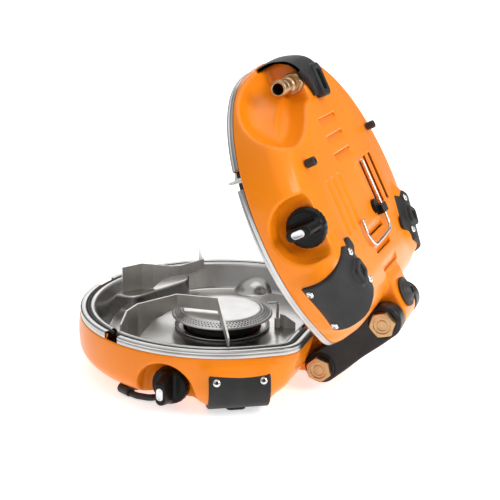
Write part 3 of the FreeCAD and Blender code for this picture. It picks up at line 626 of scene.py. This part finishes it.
def in_gap(i, gaps, ring, pocket):
    """Whether the outline's span from point i to the next is inside a rim gap or a link-arm pocket."""
    if i + 1 >= len(ARC):
        (xa, ya), (xb, yb) = ring[i], ring[(i + 1) % len(ring)]
        return xa == xb and pocket[0] < abs(ya + yb) / 2 < pocket[1]
    mid = (ARC[i] + ARC[i + 1]) / 2
    for angle, half in gaps:
        if abs((mid - angle + 180) % 360 - 180) < math.degrees(half / RIM_R):
            return True
    return False


def sweep(profile, gaps, pocket):
    """Closed (inset, z) profile carried round the outline, with end faces at the gaps."""
    rings = [outline(inset) for inset, _ in profile]
    n, m = len(rings[0]), len(profile)
    verts = [(rings[j][i][0], rings[j][i][1], profile[j][1]) for i in range(n) for j in range(m)]
    faces = []
    open_span = [in_gap(i, gaps, rings[0], pocket) for i in range(n)]
    for i in range(n):
        k = (i + 1) % n
        if open_span[i]:
            if not open_span[i - 1]:
                faces.append(tuple(i * m + j for j in range(m)))
            if not open_span[k]:
                faces.append(tuple(k * m + j for j in reversed(range(m))))
            continue
        for j in range(m):
            l = (j + 1) % m
            faces.append((i * m + j, k * m + j, k * m + l, i * m + l))
    return np.array(verts), faces


TRIM = [(0.0, SEAT_Z + 0.1), (-0.1, 55.6), (0.25, 56.3), (0.3, 56.6), (-0.1, 57.1), (-0.15, 58.0),
        (0.2, 58.8), (0.8, 59.3), (1.6, RIM_Z), (3.9, RIM_Z), (5.0, 59.3), (5.5, 58.7), (5.6, 57.6),
        (5.1, 57.6), (4.6, 58.3), (1.9, 58.3), (1.3, 57.6), (1.3, SEAT_Z + 0.1)]
GASKET = [(6.0, 56.2), (6.0, 58.6), (6.6, 59.2), (7.8, 59.2), (8.5, 58.6), (8.6, 56.2)]


def make_rim(half):
    place, body = HALVES[half], half + "_half"
    add_mesh(half + "_rim_hem", *sweep(TRIM, (FRONT_GAP, FAR_GAP), POCKET), place, "trim_steel", body,
             [half + "_rim_trim"], smooth_deg=40)
    add_mesh(half + "_rim_seal", *sweep(GASKET, (SEAL_GAP,), SEAL_POCKET), place, "gasket_rubber", body,
             [half + "_gasket"])


# ---- tray
BOX_BOSS = [(-126, 44), (-116, 3), (-97, 1), (-91, 5), (-66, 70), (-74, 92)]
TRAY_LIP = [(9.2, 57.4), (9.25, 58.0), (9.7, 58.35), (10.6, 58.5), (11.8, 58.4), (12.9, 57.9), (13.7, 56.9),
            (14.3, 55.4)]
TRAY_FILLET = [(23.6, 34.6), (24.5, 33.7), (25.8, 33.15), (27.5, TRAY_Z)]
TRAY_HOLE_R = 36.3


def boss_field(X, Y, Z):
    """Raised pressing across the far side of the lower tray, with its fillet to the floor."""
    boss = rmax(convex(X, Y, BOX_BOSS, 5.0), Z - 49.4, 2.4)
    return smin(boss, Z - TRAY_Z + 0.35, 4.0)


def dome_field(X, Y, Z):
    """Half dome at the back of the tray."""
    a, b, c = (X + 8) / 20.5, (Y - 112.5) / 22.0, (Z - TRAY_Z + 2.0) / 16.5
    q = np.sqrt(a * a + b * b + c * c)
    return smin((q - 1.0) * 20.0, Z - TRAY_Z + 0.35, 6.0)


def boss_part(field, low, high):
    """Meshed pressing, kept inside the tray's own wall."""
    verts, quads = surface_nets(field, low, high, cell(1.5, 1.0))
    mid = verts[quads].mean(axis=1)
    wall = RIM_R - 23.6 + (mid[:, 2] - 34.6) * 0.45
    keep = (np.hypot(mid[:, 0], mid[:, 1]) < wall + 1.6) & (mid[:, 2] > TRAY_Z - 0.3)
    return verts, quads[keep].tolist()


def make_tray(half):
    rows = list(TRAY_LIP)
    for k in range(1, 15):
        t = k / 15
        rows.append((14.3 + 8.7 * t, 55.4 - 19.4 * t))
    rows += TRAY_FILLET
    rings = [outline(i) for i, _ in rows]
    heights = [z for _, z in rows]
    last = np.array(rings[-1])
    radius = np.hypot(last[:, 0], last[:, 1])
    steps = 40
    for k in range(1, steps + 1):
        t = k / steps
        scale = (radius + (TRAY_HOLE_R - radius) * t) / radius
        rings.append([tuple(p) for p in last * scale[:, None]])
        heights.append(TRAY_Z)
    n = len(last)
    verts = np.column_stack([np.array(rings).reshape(-1, 2), np.repeat(heights, n)])
    faces = grid_faces(len(rings), n, wrap_cols=True)
    mid = verts[np.array(faces)].mean(axis=1)
    across = np.abs(np.degrees(np.arctan2(mid[:, 1], mid[:, 0])) - NOTCH[0])
    gone = across < math.degrees(NOTCH[1] / NOTCH_R)
    gone |= (mid[:, 0] > 91.5) & (np.abs(np.abs(mid[:, 1]) - POCKET_MID) < SEAL_POCKET_HALF)
    gone &= mid[:, 2] > NOTCH_Z
    keep = [f for f, out in zip(faces, gone) if not out]
    obj = add_mesh(half + "_tray_pan", verts, keep, HALVES[half], "tray_steel", half + "_half",
                   [half + "_tray"], smooth_deg=60)
    make_sheet(obj, TRAY_SHEET)
    parts = [boss_part(dome_field, (-40, 80, 32), (24, 124, 54))]
    if half == "lower":
        parts.append(boss_part(boss_field, (-124, -10, 32), (-58, 102, 52)))
    add_mesh(half + "_tray_pressings", *merge(parts), HALVES[half], "tray_steel", half + "_half",
             smooth_deg=60, slot="tray_steel")


# ---- burner
HOLE_R = 0.8


def perforated_cone(r0, z0, r1, z1, rows, count):
    """Conical band with rows of round holes through it; each hole has a short wall."""
    slant = math.hypot(r1 - r0, z1 - z0)
    drop = Vector((z1 - z0, 0, -(r1 - r0))).normalized() * 0.7

    def point(s, a, depth=0.0):
        r = r0 + (r1 - r0) * s + drop.x * depth
        z = z0 + (z1 - z0) * s + drop.z * depth
        return (r * math.cos(a), r * math.sin(a), z)

    bm = bmesh.new()
    da = 2 * math.pi / count
    for row in range(rows):
        sa, sb = row / rows, (row + 1) / rows
        for k in range(count):
            a0 = da * (k + (0.5 if row % 2 else 0.0))
            sm, am = (sa + sb) / 2, a0 + da / 2
            ring_r = r0 + (r1 - r0) * sm
            outer, inner, deep = [], [], []
            for j in range(8):
                t = 2 * math.pi * j / 8
                qs = max(-1, min(1, 1.5 * math.sin(t)))
                qa = max(-1, min(1, 1.5 * math.cos(t)))
                outer.append(bm.verts.new(point(sm + qs * (sb - sa) / 2, am + qa * da / 2)))
                edge = (sm + HOLE_R * math.sin(t) / slant, am + HOLE_R * math.cos(t) / ring_r)
                inner.append(bm.verts.new(point(*edge)))
                deep.append(bm.verts.new(point(*edge, 1.0)))
            for j in range(8):
                l = (j + 1) % 8
                bm.faces.new((outer[j], outer[l], inner[l], inner[j]))
                bm.faces.new((inner[j], inner[l], deep[l], deep[j]))
    bmesh.ops.remove_doubles(bm, verts=bm.verts, dist=0.02)
    bmesh.ops.recalc_face_normals(bm, faces=bm.faces)
    bm.verts.ensure_lookup_table()
    bm.verts.index_update()
    part = (np.array([v.co[:] for v in bm.verts]), [tuple(v.index for v in f.verts) for f in bm.faces])
    bm.free()
    return part


def make_burner(half):
    place, body = HALVES[half], half + "_half"
    lid = [(0, 51.8), (14, 51.75), (30, 51.6), (34.6, 51.45), (36.3, 51.2), (37.2, 50.7), (37.5, 50.1),
           (37.4, 49.6), (36.6, 49.5), (30, 49.8), (0, 50.2)]
    add_mesh(half + "_burner_lid", *lathe(lid), place, "burner_steel", body, [half + "_burner_cap"],
             smooth_deg=50)
    seat = lathe([(37.6, 49.4), (37.7, 50.4), (38.0, 50.8), (38.4, 50.9), (38.8, 50.6)])
    band = perforated_cone(38.8, 50.6, 45.2, 47.9, 3, 84)
    rim = lathe([(45.2, 47.9), (45.6, 48.1), (46.3, 47.95), (47.1, 47.4), (47.5, 46.8), (47.4, 46.3),
                 (46.8, 46.0), (42.0, 45.9), (35.0, 46.0)])
    add_mesh(half + "_burner_ring", *merge([seat, band, rim]), place, "burner_steel", body,
             [half + "_burner_head"], smooth_deg=30)
    # Near-black cone behind the burner's holes, and the throat below the head: their dark colour is painted
    # shade inside and under the burner head
    core = lathe([(37.6, 49.3), (44.2, 46.9), (44.2, 46.3), (34.9, 46.3)])
    add_mesh(half + "_burner_shade_core", *core, place, "dark_steel", body, slot="dark_steel")
    throat = [(35.9, 46.1), (35.9, 40.5), (35.2, 38.0), (35.0, 35.2), (34.4, 33.4), (30, 31.6), (12.2, 30.6),
              (12.1, 29.4)]
    add_mesh(half + "_throat_cone", *lathe(throat), place, "dark_steel", body, [half + "_burner_throat"])
    dish = [(36.3, 33.3), (37.5, 33.25), (40, 33.5), (42.5, 34.5), (44.1, 35.7), (44.8, 36.1), (45.0, 35.9),
            (44.7, 35.2), (43.0, 33.9), (41, 33.1), (36.3, 33.05)]
    add_mesh(half + "_drip_dish", *lathe(dish), place, "burner_steel", body, [half + "_drip_shield"],
             smooth_deg=50)


# ---- moulded covers, screws and feet
COVER_SKIN = [(86.0, 5.8), (94.5, 3.6), (99, 2.4), (112, 2.4), (118, 3.0), (131.6, 9.2), (138.4, 20),
              (139.4, 31.5), (135.4, 41.0), (86, 60)]
COVER_INNER = [(80, 9.8), (98, 6.6), (117, 6.8), (128, 12.4), (134.4, 21.5), (135.6, 31.5), (130.4, 60),
               (80, 60)]
END_SKIN = [(86.0, 5.8), (94.5, 3.6), (99, 2.4), (113, 2.4), (119, 4.6), (RIM_R - 4.4, 11.5),
            (RIM_R + 0.6, 22), (RIM_R + 1.9, 32), (RIM_R + 0.5, COVER_TOP), (86, 60)]


def corner_cover(X, Y, Z, name):
    """Cover of a corner: wrapped skin, slotted foot, side tongue and dimples for two screws."""
    u, t = cover_axes(X, Y, name)
    width = 26.0 - 9.0 * np.clip((104.0 - u) / 9.0, 0, 1) ** 1.5
    skin = rmax(convex(u, Z, COVER_SKIN, 4.0), np.abs(t) - width, 1.6)
    skin = rmax(skin, Z - COVER_TOP, 1.6)
    foot = rmax(rmax(slot(u - CORNER_FOOT_U, t, 5.0, 4.5, 4.0), -Z, 1.2), Z - 8.0, 0.5)
    tongue = rmax(slot(u - 92.0, t + 12.5, 5.5, 2.2, 4.2), np.abs(Z - 6.4) - 1.6, 1.0)
    skin = smin(skin, smin(foot, tongue, 1.5), 2.5)
    skin = smax(skin, -rmax(slot(u - CORNER_FOOT_U, t, 2.6, 2.2, 2.2), Z - 2.6, 0.8), 0.8)
    for at in (-BASE_SCREW_T, BASE_SCREW_T):
        dimple = np.hypot(u - BASE_SCREW_U, t - at) - 4.4
        skin = smax(skin, -rmax(dimple, Z - 3.1, 0.4), 0.8)
    return smax(skin, -convex(u, Z, COVER_INNER, 3.0), 0.8)


def end_cover(X, Y, Z):
    """Strap over the end of a half, with a framed slot as its foot."""
    t = cover_axes(X, Y, "end")[1]
    r = np.hypot(X, Y)
    width = 26.0 - 14.0 * np.clip((116.0 - r) / 20.0, 0, 1)
    skin = rmax(convex(r, Z, END_SKIN, 2.5), np.abs(end_angle(X, Y)) - width, 1.6)
    skin = rmax(skin, Z - COVER_TOP, 1.6)
    foot = rmax(rmax(slot(r - END_FOOT_R, t, 8.5, 3.6, 6.4), -Z, 1.2), Z - 8.0, 0.5)
    skin = smin(rmax(skin, 90.5 - r, 1.6), foot, 0.8)
    skin = smax(skin, -rmax(slot(r - END_FOOT_R, t, 7.6, 2.4, 2.2), Z - 5.0, 0.8), 0.8)
    return smax(skin, -np.maximum(end_line(X, Y, Z, 2.2), 90.0 - r), 0.8)


def make_covers(half):
    h = cell(1.3, 0.85)
    for name, (angle, shift) in COVERS.items():
        def local(U, T, Z, name=name, angle=angle, shift=shift):
            X, Y = turned_back(U, T + shift, angle)
            return end_cover(X, Y, Z) if name == "end" else corner_cover(X, Y, Z, name)

        verts, quads = surface_nets(local, (80, -30, -1), (142, 30, 44), h)
        x, y = turned_back(verts[:, 0], verts[:, 1] + shift, angle)
        add_mesh("%s_%s_guard" % (half, name), np.column_stack([x, y, verts[:, 2]]), quads.tolist(),
                 HALVES[half], "cover_rubber", half + "_half", ["%s_%s_cover" % (half, name)], smooth_deg=60)


def screw_spots():
    """Place of every pan-head screw: centre, outward direction."""
    spots = []
    for name in ("front", "back"):
        angle, shift = COVERS[name]
        rot = Matrix.Rotation(math.radians(angle), 3, "Z")
        for t in (-19.6, 19.6):
            spots.append((rot @ Vector((137.8, t + shift, 35.2)), rot @ Vector((1, 0, 0.42)).normalized()))
        for t in (-BASE_SCREW_T, BASE_SCREW_T):
            spots.append((rot @ Vector((BASE_SCREW_U, t + shift, 2.7)), Vector((0, 0, -1))))
    return spots


def make_screws(half):
    head = lathe([(0, 0.35), (1.0, 0.3), (1.15, 0.9), (1.5, 1.35), (2.4, 1.15), (3.1, 0.6), (3.35, 0.0),
                  (3.3, -0.6)], 40)
    # Near-black disc at the bottom of each head's socket: painted shade in the hollow
    socket = lathe([(0, 0.42), (1.02, 0.40), (1.05, 0.2)], 12)
    heads, sockets = [], []
    for at, out in screw_spots():
        m = Matrix.Translation(at) @ out.to_track_quat("Z", "Y").to_matrix().to_4x4()
        heads.append(transformed(head, m))
        sockets.append(transformed(socket, m))
    add_mesh(half + "_pan_heads", *merge(heads), HALVES[half], "screw_steel", half + "_half",
             [half + "_cover_screws"], smooth_deg=40)
    add_mesh(half + "_painted_socket_shade", *merge(sockets), HALVES[half], "slot_dark", half + "_half",
             slot="screw_steel")


def make_feet(half):
    def foot(X, Y, Z):
        r = np.hypot(X - 98.0, Y)
        flange = rmax(r - 13.4, np.abs(Z - 6.6) - 1.6, 1.5)
        hub = convex(r, Z, [(0, 0), (7.3, 0), (8.2, 3.6), (10.6, 5.6), (10.6, 8), (0, 8)], 1.2)
        d = smin(flange, hub, 1.6)
        square = np.maximum(np.abs(X - 98.0), np.abs(Y)) - 2.9
        d = smax(d, -rmax(square, Z - 2.6, 0.3), 0.6)
        for x, y in ((-44.0, -94.0), (-44.0, 94.0)):
            post = rmax(np.hypot(X - x, Y - y) - 3.7, np.abs(Z - 4.1) - 4.1, 0.8)
            post = smax(post, -rmax(np.maximum(np.abs(X - x), np.abs(Y - y)) - 1.5, Z - 1.6, 0.2), 0.4)
            d = np.minimum(d, post)
        return d
    h = cell(0.8, 0.5)
    parts = [surface_nets(foot, (84, -14, -0.5), (112, 14, 9), h)]
    for y in (-94.0, 94.0):
        parts.append(surface_nets(foot, (-48.5, y - 4.5, -0.5), (-39.5, y + 4.5, 9), h))
    parts = [(v, q.tolist()) for v, q in parts]
    add_mesh(half + "_feet_pads", *merge(parts), HALVES[half], "foot_rubber", half + "_half",
             [half + "_rubber_feet"], smooth_deg=60)


# ---- knobs
def knob_field(X, Y, Z):
    """Knob along +Z: disc from 0 to 8.5, bar grip up to 26; X is across the bar, Y along it."""
    r = np.hypot(X, Y)
    disc = convex(r, Z, [(0, 0), (KNOB_R - 0.3, 0), (KNOB_R, 0.6), (KNOB_R, 5.8), (KNOB_R - 1.4, 8.3),
                         (0, 8.6)], 1.0)
    flutes = 0.35 * np.cos(24 * np.arctan2(Y, X)) * np.clip((r - 15) / 1.0, 0, 1) * (Z < 7)
    disc = disc + flutes * 0.4
    groove = rmax(np.abs(r - 14.2) - 0.45, np.abs(Z - 8.6) - 0.8, 0.2)
    disc = smax(disc, -groove, 0.3)
    reach = 15.4 - 5.2 * np.clip((Z - 8.0) / 18.0, 0, 1)
    half_w = 4.5 + 1.6 * np.clip((13.0 - Z) / 6.0, 0, 1) ** 2
    flat = np.hypot(np.maximum(np.abs(Y) - reach + half_w, 0), X) - half_w
    bar = rmax(flat, Z - 26.0, 1.4)
    bar = np.maximum(bar, 4.0 - Z)
    return smin(disc, bar, 2.4)


OUT_OF_FRONT = Matrix(((1, 0, 0, 0), (0, 0, -1, 0), (0, 1, 0, 0), (0, 0, 0, 1)))       # +Z to the front


def make_knob(half):
    verts, quads = surface_nets(knob_field, (-18, -18, -1), (18, 18, 28), cell(0.8, 0.55))
    to_front = Matrix.Translation((0, KNOB_Y + 8.5, KNOB_Z)) @ OUT_OF_FRONT
    place, body = HALVES[half] @ to_front, half + "_knob"
    add_mesh(half + "_knob_grip", verts, quads.tolist(), place, "knob_plastic", body, [half + "_knob"],
             smooth_deg=60)
    n = 48
    pts = []
    for scale, z in ((1.0, 25.8), (1.0, 26.35), (0.9, 26.6), (0.72, 26.55), (0.66, 26.45)):
        for k in range(n):
            a = 2 * math.pi * k / n
            stretch = math.copysign(2.6, math.sin(a)) * min(1.0, abs(math.sin(a)) * 3)
            pts.append((3.0 * scale * math.cos(a), 3.0 * scale * math.sin(a) + stretch, z))
    faces = grid_faces(5, n, wrap_cols=True)
    faces.append(tuple(reversed(range(4 * n, 5 * n))))
    add_mesh(half + "_badge_plate", pts, faces, place, "badge_metal", body, [half + "_knob_badge"],
             smooth_deg=40)


# ---- hinge
def arm_field(X, Y, Z):
    """Link arm in its closed place, rubber-skinned, between the two pivots."""
    z2 = 2 * MIRROR_Z - PIVOT_Z
    seg = np.clip(Z, PIVOT_Z, z2)
    side = np.hypot(X - PIVOT_X, Z - seg)
    mid = (ARM_IN + ARM_OUT) / 2
    out = np.abs(Y) - mid
    body = rmax(side - ARM_R, np.abs(out) - (ARM_OUT - ARM_IN) / 2, 3.2)
    waist = np.clip(1 - np.abs(Z - MIRROR_Z) / 24.0, 0, 1)
    body = body + 0.9 * waist * np.clip(2 * waist, 0, 1)
    for z in (PIVOT_Z, z2):
        d = np.hypot(X - PIVOT_X, Z - z)
        ring = rmax(np.abs(d - 12.9) - 0.5, np.abs(out - 9.0) - 0.7, 0.3)
        body = smax(body, -ring, 0.4)
        body = np.maximum(body, -(d - 5.2))
    return body


def make_arms():
    h = cell(0.95, 0.62)
    for name, sign in (("front", -1), ("rear", 1)):
        y = sorted((sign * (ARM_IN - 1), sign * (ARM_OUT + 1)))
        verts, quads = surface_nets(arm_field, (92, y[0], 6), (126, y[1], 114), h)
        add_mesh(name + "_arm_sleeve", verts, quads.tolist(), LINK, "arm_rubber", "hinge_link",
                 [name + "_link_arm"], smooth_deg=60)


def hexagon(X, Y, half_flats, degrees=0):
    """Distance outside a hexagon of a given half width across flats."""
    d = np.full_like(X, -1e3)
    for k in range(6):
        a = math.radians(60 * k + degrees)
        d = np.maximum(d, X * math.cos(a) + Y * math.sin(a) - half_flats)
    return d


def bolt_field(X, Y, Z):
    """Hexagon head along +Z from its seat, chamfered, with a raised rim round a dished face."""
    d = hexagon(X, Y, 10.2)
    r = np.hypot(X, Y)
    cone = (r - 11.5) * 0.5 + (Z - 6.1) * 0.866
    d = rmax(d, np.maximum(Z - 6.6, -Z), 0.3)
    d = smax(d, cone, 0.5)
    dish = rmax(r - 7.5, 5.7 - Z, 0.3)
    d = smax(d, -dish, 0.4)
    lip = np.hypot(r - 7.9, Z - 6.2) - 0.55
    d = smin(d, lip, 0.3)
    ring = np.abs(r - 4.6) - 0.25
    return smax(d, -rmax(ring, np.abs(Z - 5.9) - 0.5, 0.2), 0.2)


def make_bolts(half):
    verts, quads = surface_nets(bolt_field, (-12.5, -12.5, -0.6), (12.5, 12.5, 7.4), cell(0.6, 0.4))
    shank = lathe([(0, 0.5), (5.0, 0.5), (5.0, -34.0), (0, -34.0)], 48)
    parts = []
    for side in (-1, 1):
        axes = Matrix(((1, 0, 0, 0), (0, 0, side, 0), (0, 1, 0, 0), (0, 0, 0, 1)))
        m = (Matrix.Translation((PIVOT_X, side * (ARM_OUT + 0.3), PIVOT_Z)) @ axes
             @ Matrix.Rotation(math.radians(12), 4, "Z"))
        head, head_faces = transformed((verts, quads.tolist()), m)
        pin, pin_faces = transformed(shank, m)
        if side > 0:
            head_faces = [f[::-1] for f in head_faces]
        else:
            pin_faces = [f[::-1] for f in pin_faces]
        parts += [(head, head_faces), (pin, pin_faces)]
    add_mesh(half + "_pivot_bolts", *merge(parts), HALVES[half], "brass", half + "_half",
             [half + "_hinge_bolts"], smooth_deg=40)


# ---- gas inlet
def inlet_field(X, Y, Z):
    """Gas inlet along +Z from the wall: hexagon, ribbed body, nose with its bore."""
    r = np.hypot(X, Y)
    hexa = rmax(hexagon(X, Y, 8.4, 20), np.abs(Z - 4.1) - 4.0, 0.3)
    hexa = smax(hexa, (r - 9.1) * 0.5 + np.abs(Z - 4.1) * 0.866 - 3.0, 0.4)
    body = rmax(r - 5.9, np.abs(Z - 22.0) - 21.0, 0.6)
    washer = rmax(r - 8.6, np.abs(Z - 9.2) - 1.0, 0.4)
    collar = rmax(r - 7.1, np.abs(Z - 17.5) - 3.6, 1.2)
    nose = rmax(r - 6.9, np.abs(Z - 39.0) - 4.0, 1.3)
    groove = np.hypot(r - 6.4, Z - 31.5) - 1.2
    d = smin(smin(body, washer, 0.4), smin(collar, nose, 0.8), 0.8)
    d = smin(d, hexa, 0.4)
    d = smax(d, -groove, 0.5)
    return smax(d, -(r - 4.75), 0.4)


def make_inlet():
    verts, quads = surface_nets(inlet_field, (-10.5, -10.5, 0.2), (10.5, 10.5, 44.5), cell(0.75, 0.5))
    place = UPPER @ (Matrix.Translation((PORT_X, PORT_Y, PORT_Z)) @ OUT_OF_FRONT)
    add_mesh("gas_inlet_nipple", verts, quads.tolist(), place, "brass", "upper_half",
             ["upper_port_fitting"], smooth_deg=45)


# ---- wire on the base
def make_bail():
    """Sprung wire that lies under the base, its two ends in the shell."""
    z = BASE_Z - 3.4
    path = round_path([(-22, 30, BASE_Z + 4), (-22, 30, z), (-12, 30, z), (26, 30.5, z), (44.5, 29, z),
                       (45.5, 0, z), (46, -30, z), (34, -37, z), (22, -35, z), (22, -29, z),
                       (22, -29, BASE_Z + 4)], 12.0)
    add_mesh("spring_bail", *tube(path, 1.3), UPPER, "wire_steel", "upper_half", ["upper_wire_bail"])


# ---- carried-over CAD nodes
THIN_NODES = ("support", "guard", "electrode", "washers")
MOULDED_NODES = ("clip", "dust_cap")


def finish_cad_nodes():
    """Carried-over CAD nodes: the record's materials, and softened edges on the pieces in view."""
    slots = {s["node"]: s["material_slot"] for s in RECORD["subparts"]}
    for name, obj in NODES.items():
        mat = MATS.get(slots.get(name, ""), MATS["dark_steel"])
        obj.data.materials.clear()
        obj.data.materials.append(mat)
        moulded = any(word in name for word in MOULDED_NODES)
        if moulded or any(word in name for word in THIN_NODES):
            bevel = obj.modifiers.new("edge", "BEVEL")
            bevel.width = (0.9 if moulded else 0.35) * MM
            bevel.segments = 2
            bevel.limit_method = "ANGLE"
            bevel.angle_limit = math.radians(40)


# ---- floor, light, world
def make_studio():
    floor_mat = material("studio_floor", (0.90, 0.90, 0.90), (0.93, 0.93, 0.93), (0.6, 0.8), blotch=3,
                         grain=200, bump=0.0, specular=0.1)
    bsdf = floor_mat.node_tree.nodes["Principled BSDF"]
    bsdf.inputs["Emission Color"].default_value = (1, 1, 1, 1)
    bsdf.inputs["Emission Strength"].default_value = 0.6
    mesh = bpy.data.meshes.new("studio_floor")
    far = 30.0
    corners = [(-far, -far, 0), (far, -far, 0), (far, far, 0), (-far, far, 0)]
    mesh.from_pydata(corners, [], [(0, 1, 2, 3)])
    mesh.materials.append(floor_mat)
    floor = bpy.data.objects.new("studio_floor", mesh)
    bpy.context.collection.objects.link(floor)

    def area(name, at, aim, size, power):
        data = bpy.data.lights.new(name, "AREA")
        data.shape = "RECTANGLE"
        data.size, data.size_y = size
        data.energy = power
        lamp = bpy.data.objects.new(name, data)
        bpy.context.collection.objects.link(lamp)
        lamp.location = at
        lamp.rotation_euler = (Vector(aim) - Vector(at)).to_track_quat("-Z", "Y").to_euler()

    area("key_soft", (1.75, -0.3, 1.15), (0, 0, 0.12), (1.0, 1.0), 22.0)
    area("back_soft", (-0.85, 1.8, 0.95), (0, 0, 0.05), (1.1, 0.8), 4.6)
    area("top_soft", (0.1, 0.2, 2.0), (0, 0, 0), (1.4, 1.4), 6.0)
    world = bpy.data.worlds.new("studio_world")
    world.use_nodes = True
    nt = world.node_tree
    split = nt.nodes.new("ShaderNodeSeparateXYZ")
    nt.links.new(nt.nodes.new("ShaderNodeTexCoord").outputs["Generated"], split.inputs["Vector"])
    sky = ramp_mix(nt, split.outputs["Z"], (0.20, 0.20, 0.20), (0.85, 0.85, 0.85))
    nt.links.new(sky, nt.nodes["Background"].inputs["Color"])
    nt.nodes["Background"].inputs["Strength"].default_value = 1.0
    bpy.context.scene.world = world
    bpy.context.scene.view_settings.view_transform = "Standard"


make_camera()
make_studio()
finish_cad_nodes()
for half in ("lower", "upper"):
    make_shell(half)
    make_rim(half)
    make_tray(half)
    make_burner(half)
    make_covers(half)
    make_screws(half)
    make_feet(half)
    make_knob(half)
    make_bolts(half)
make_arms()
make_inlet()
make_bail()
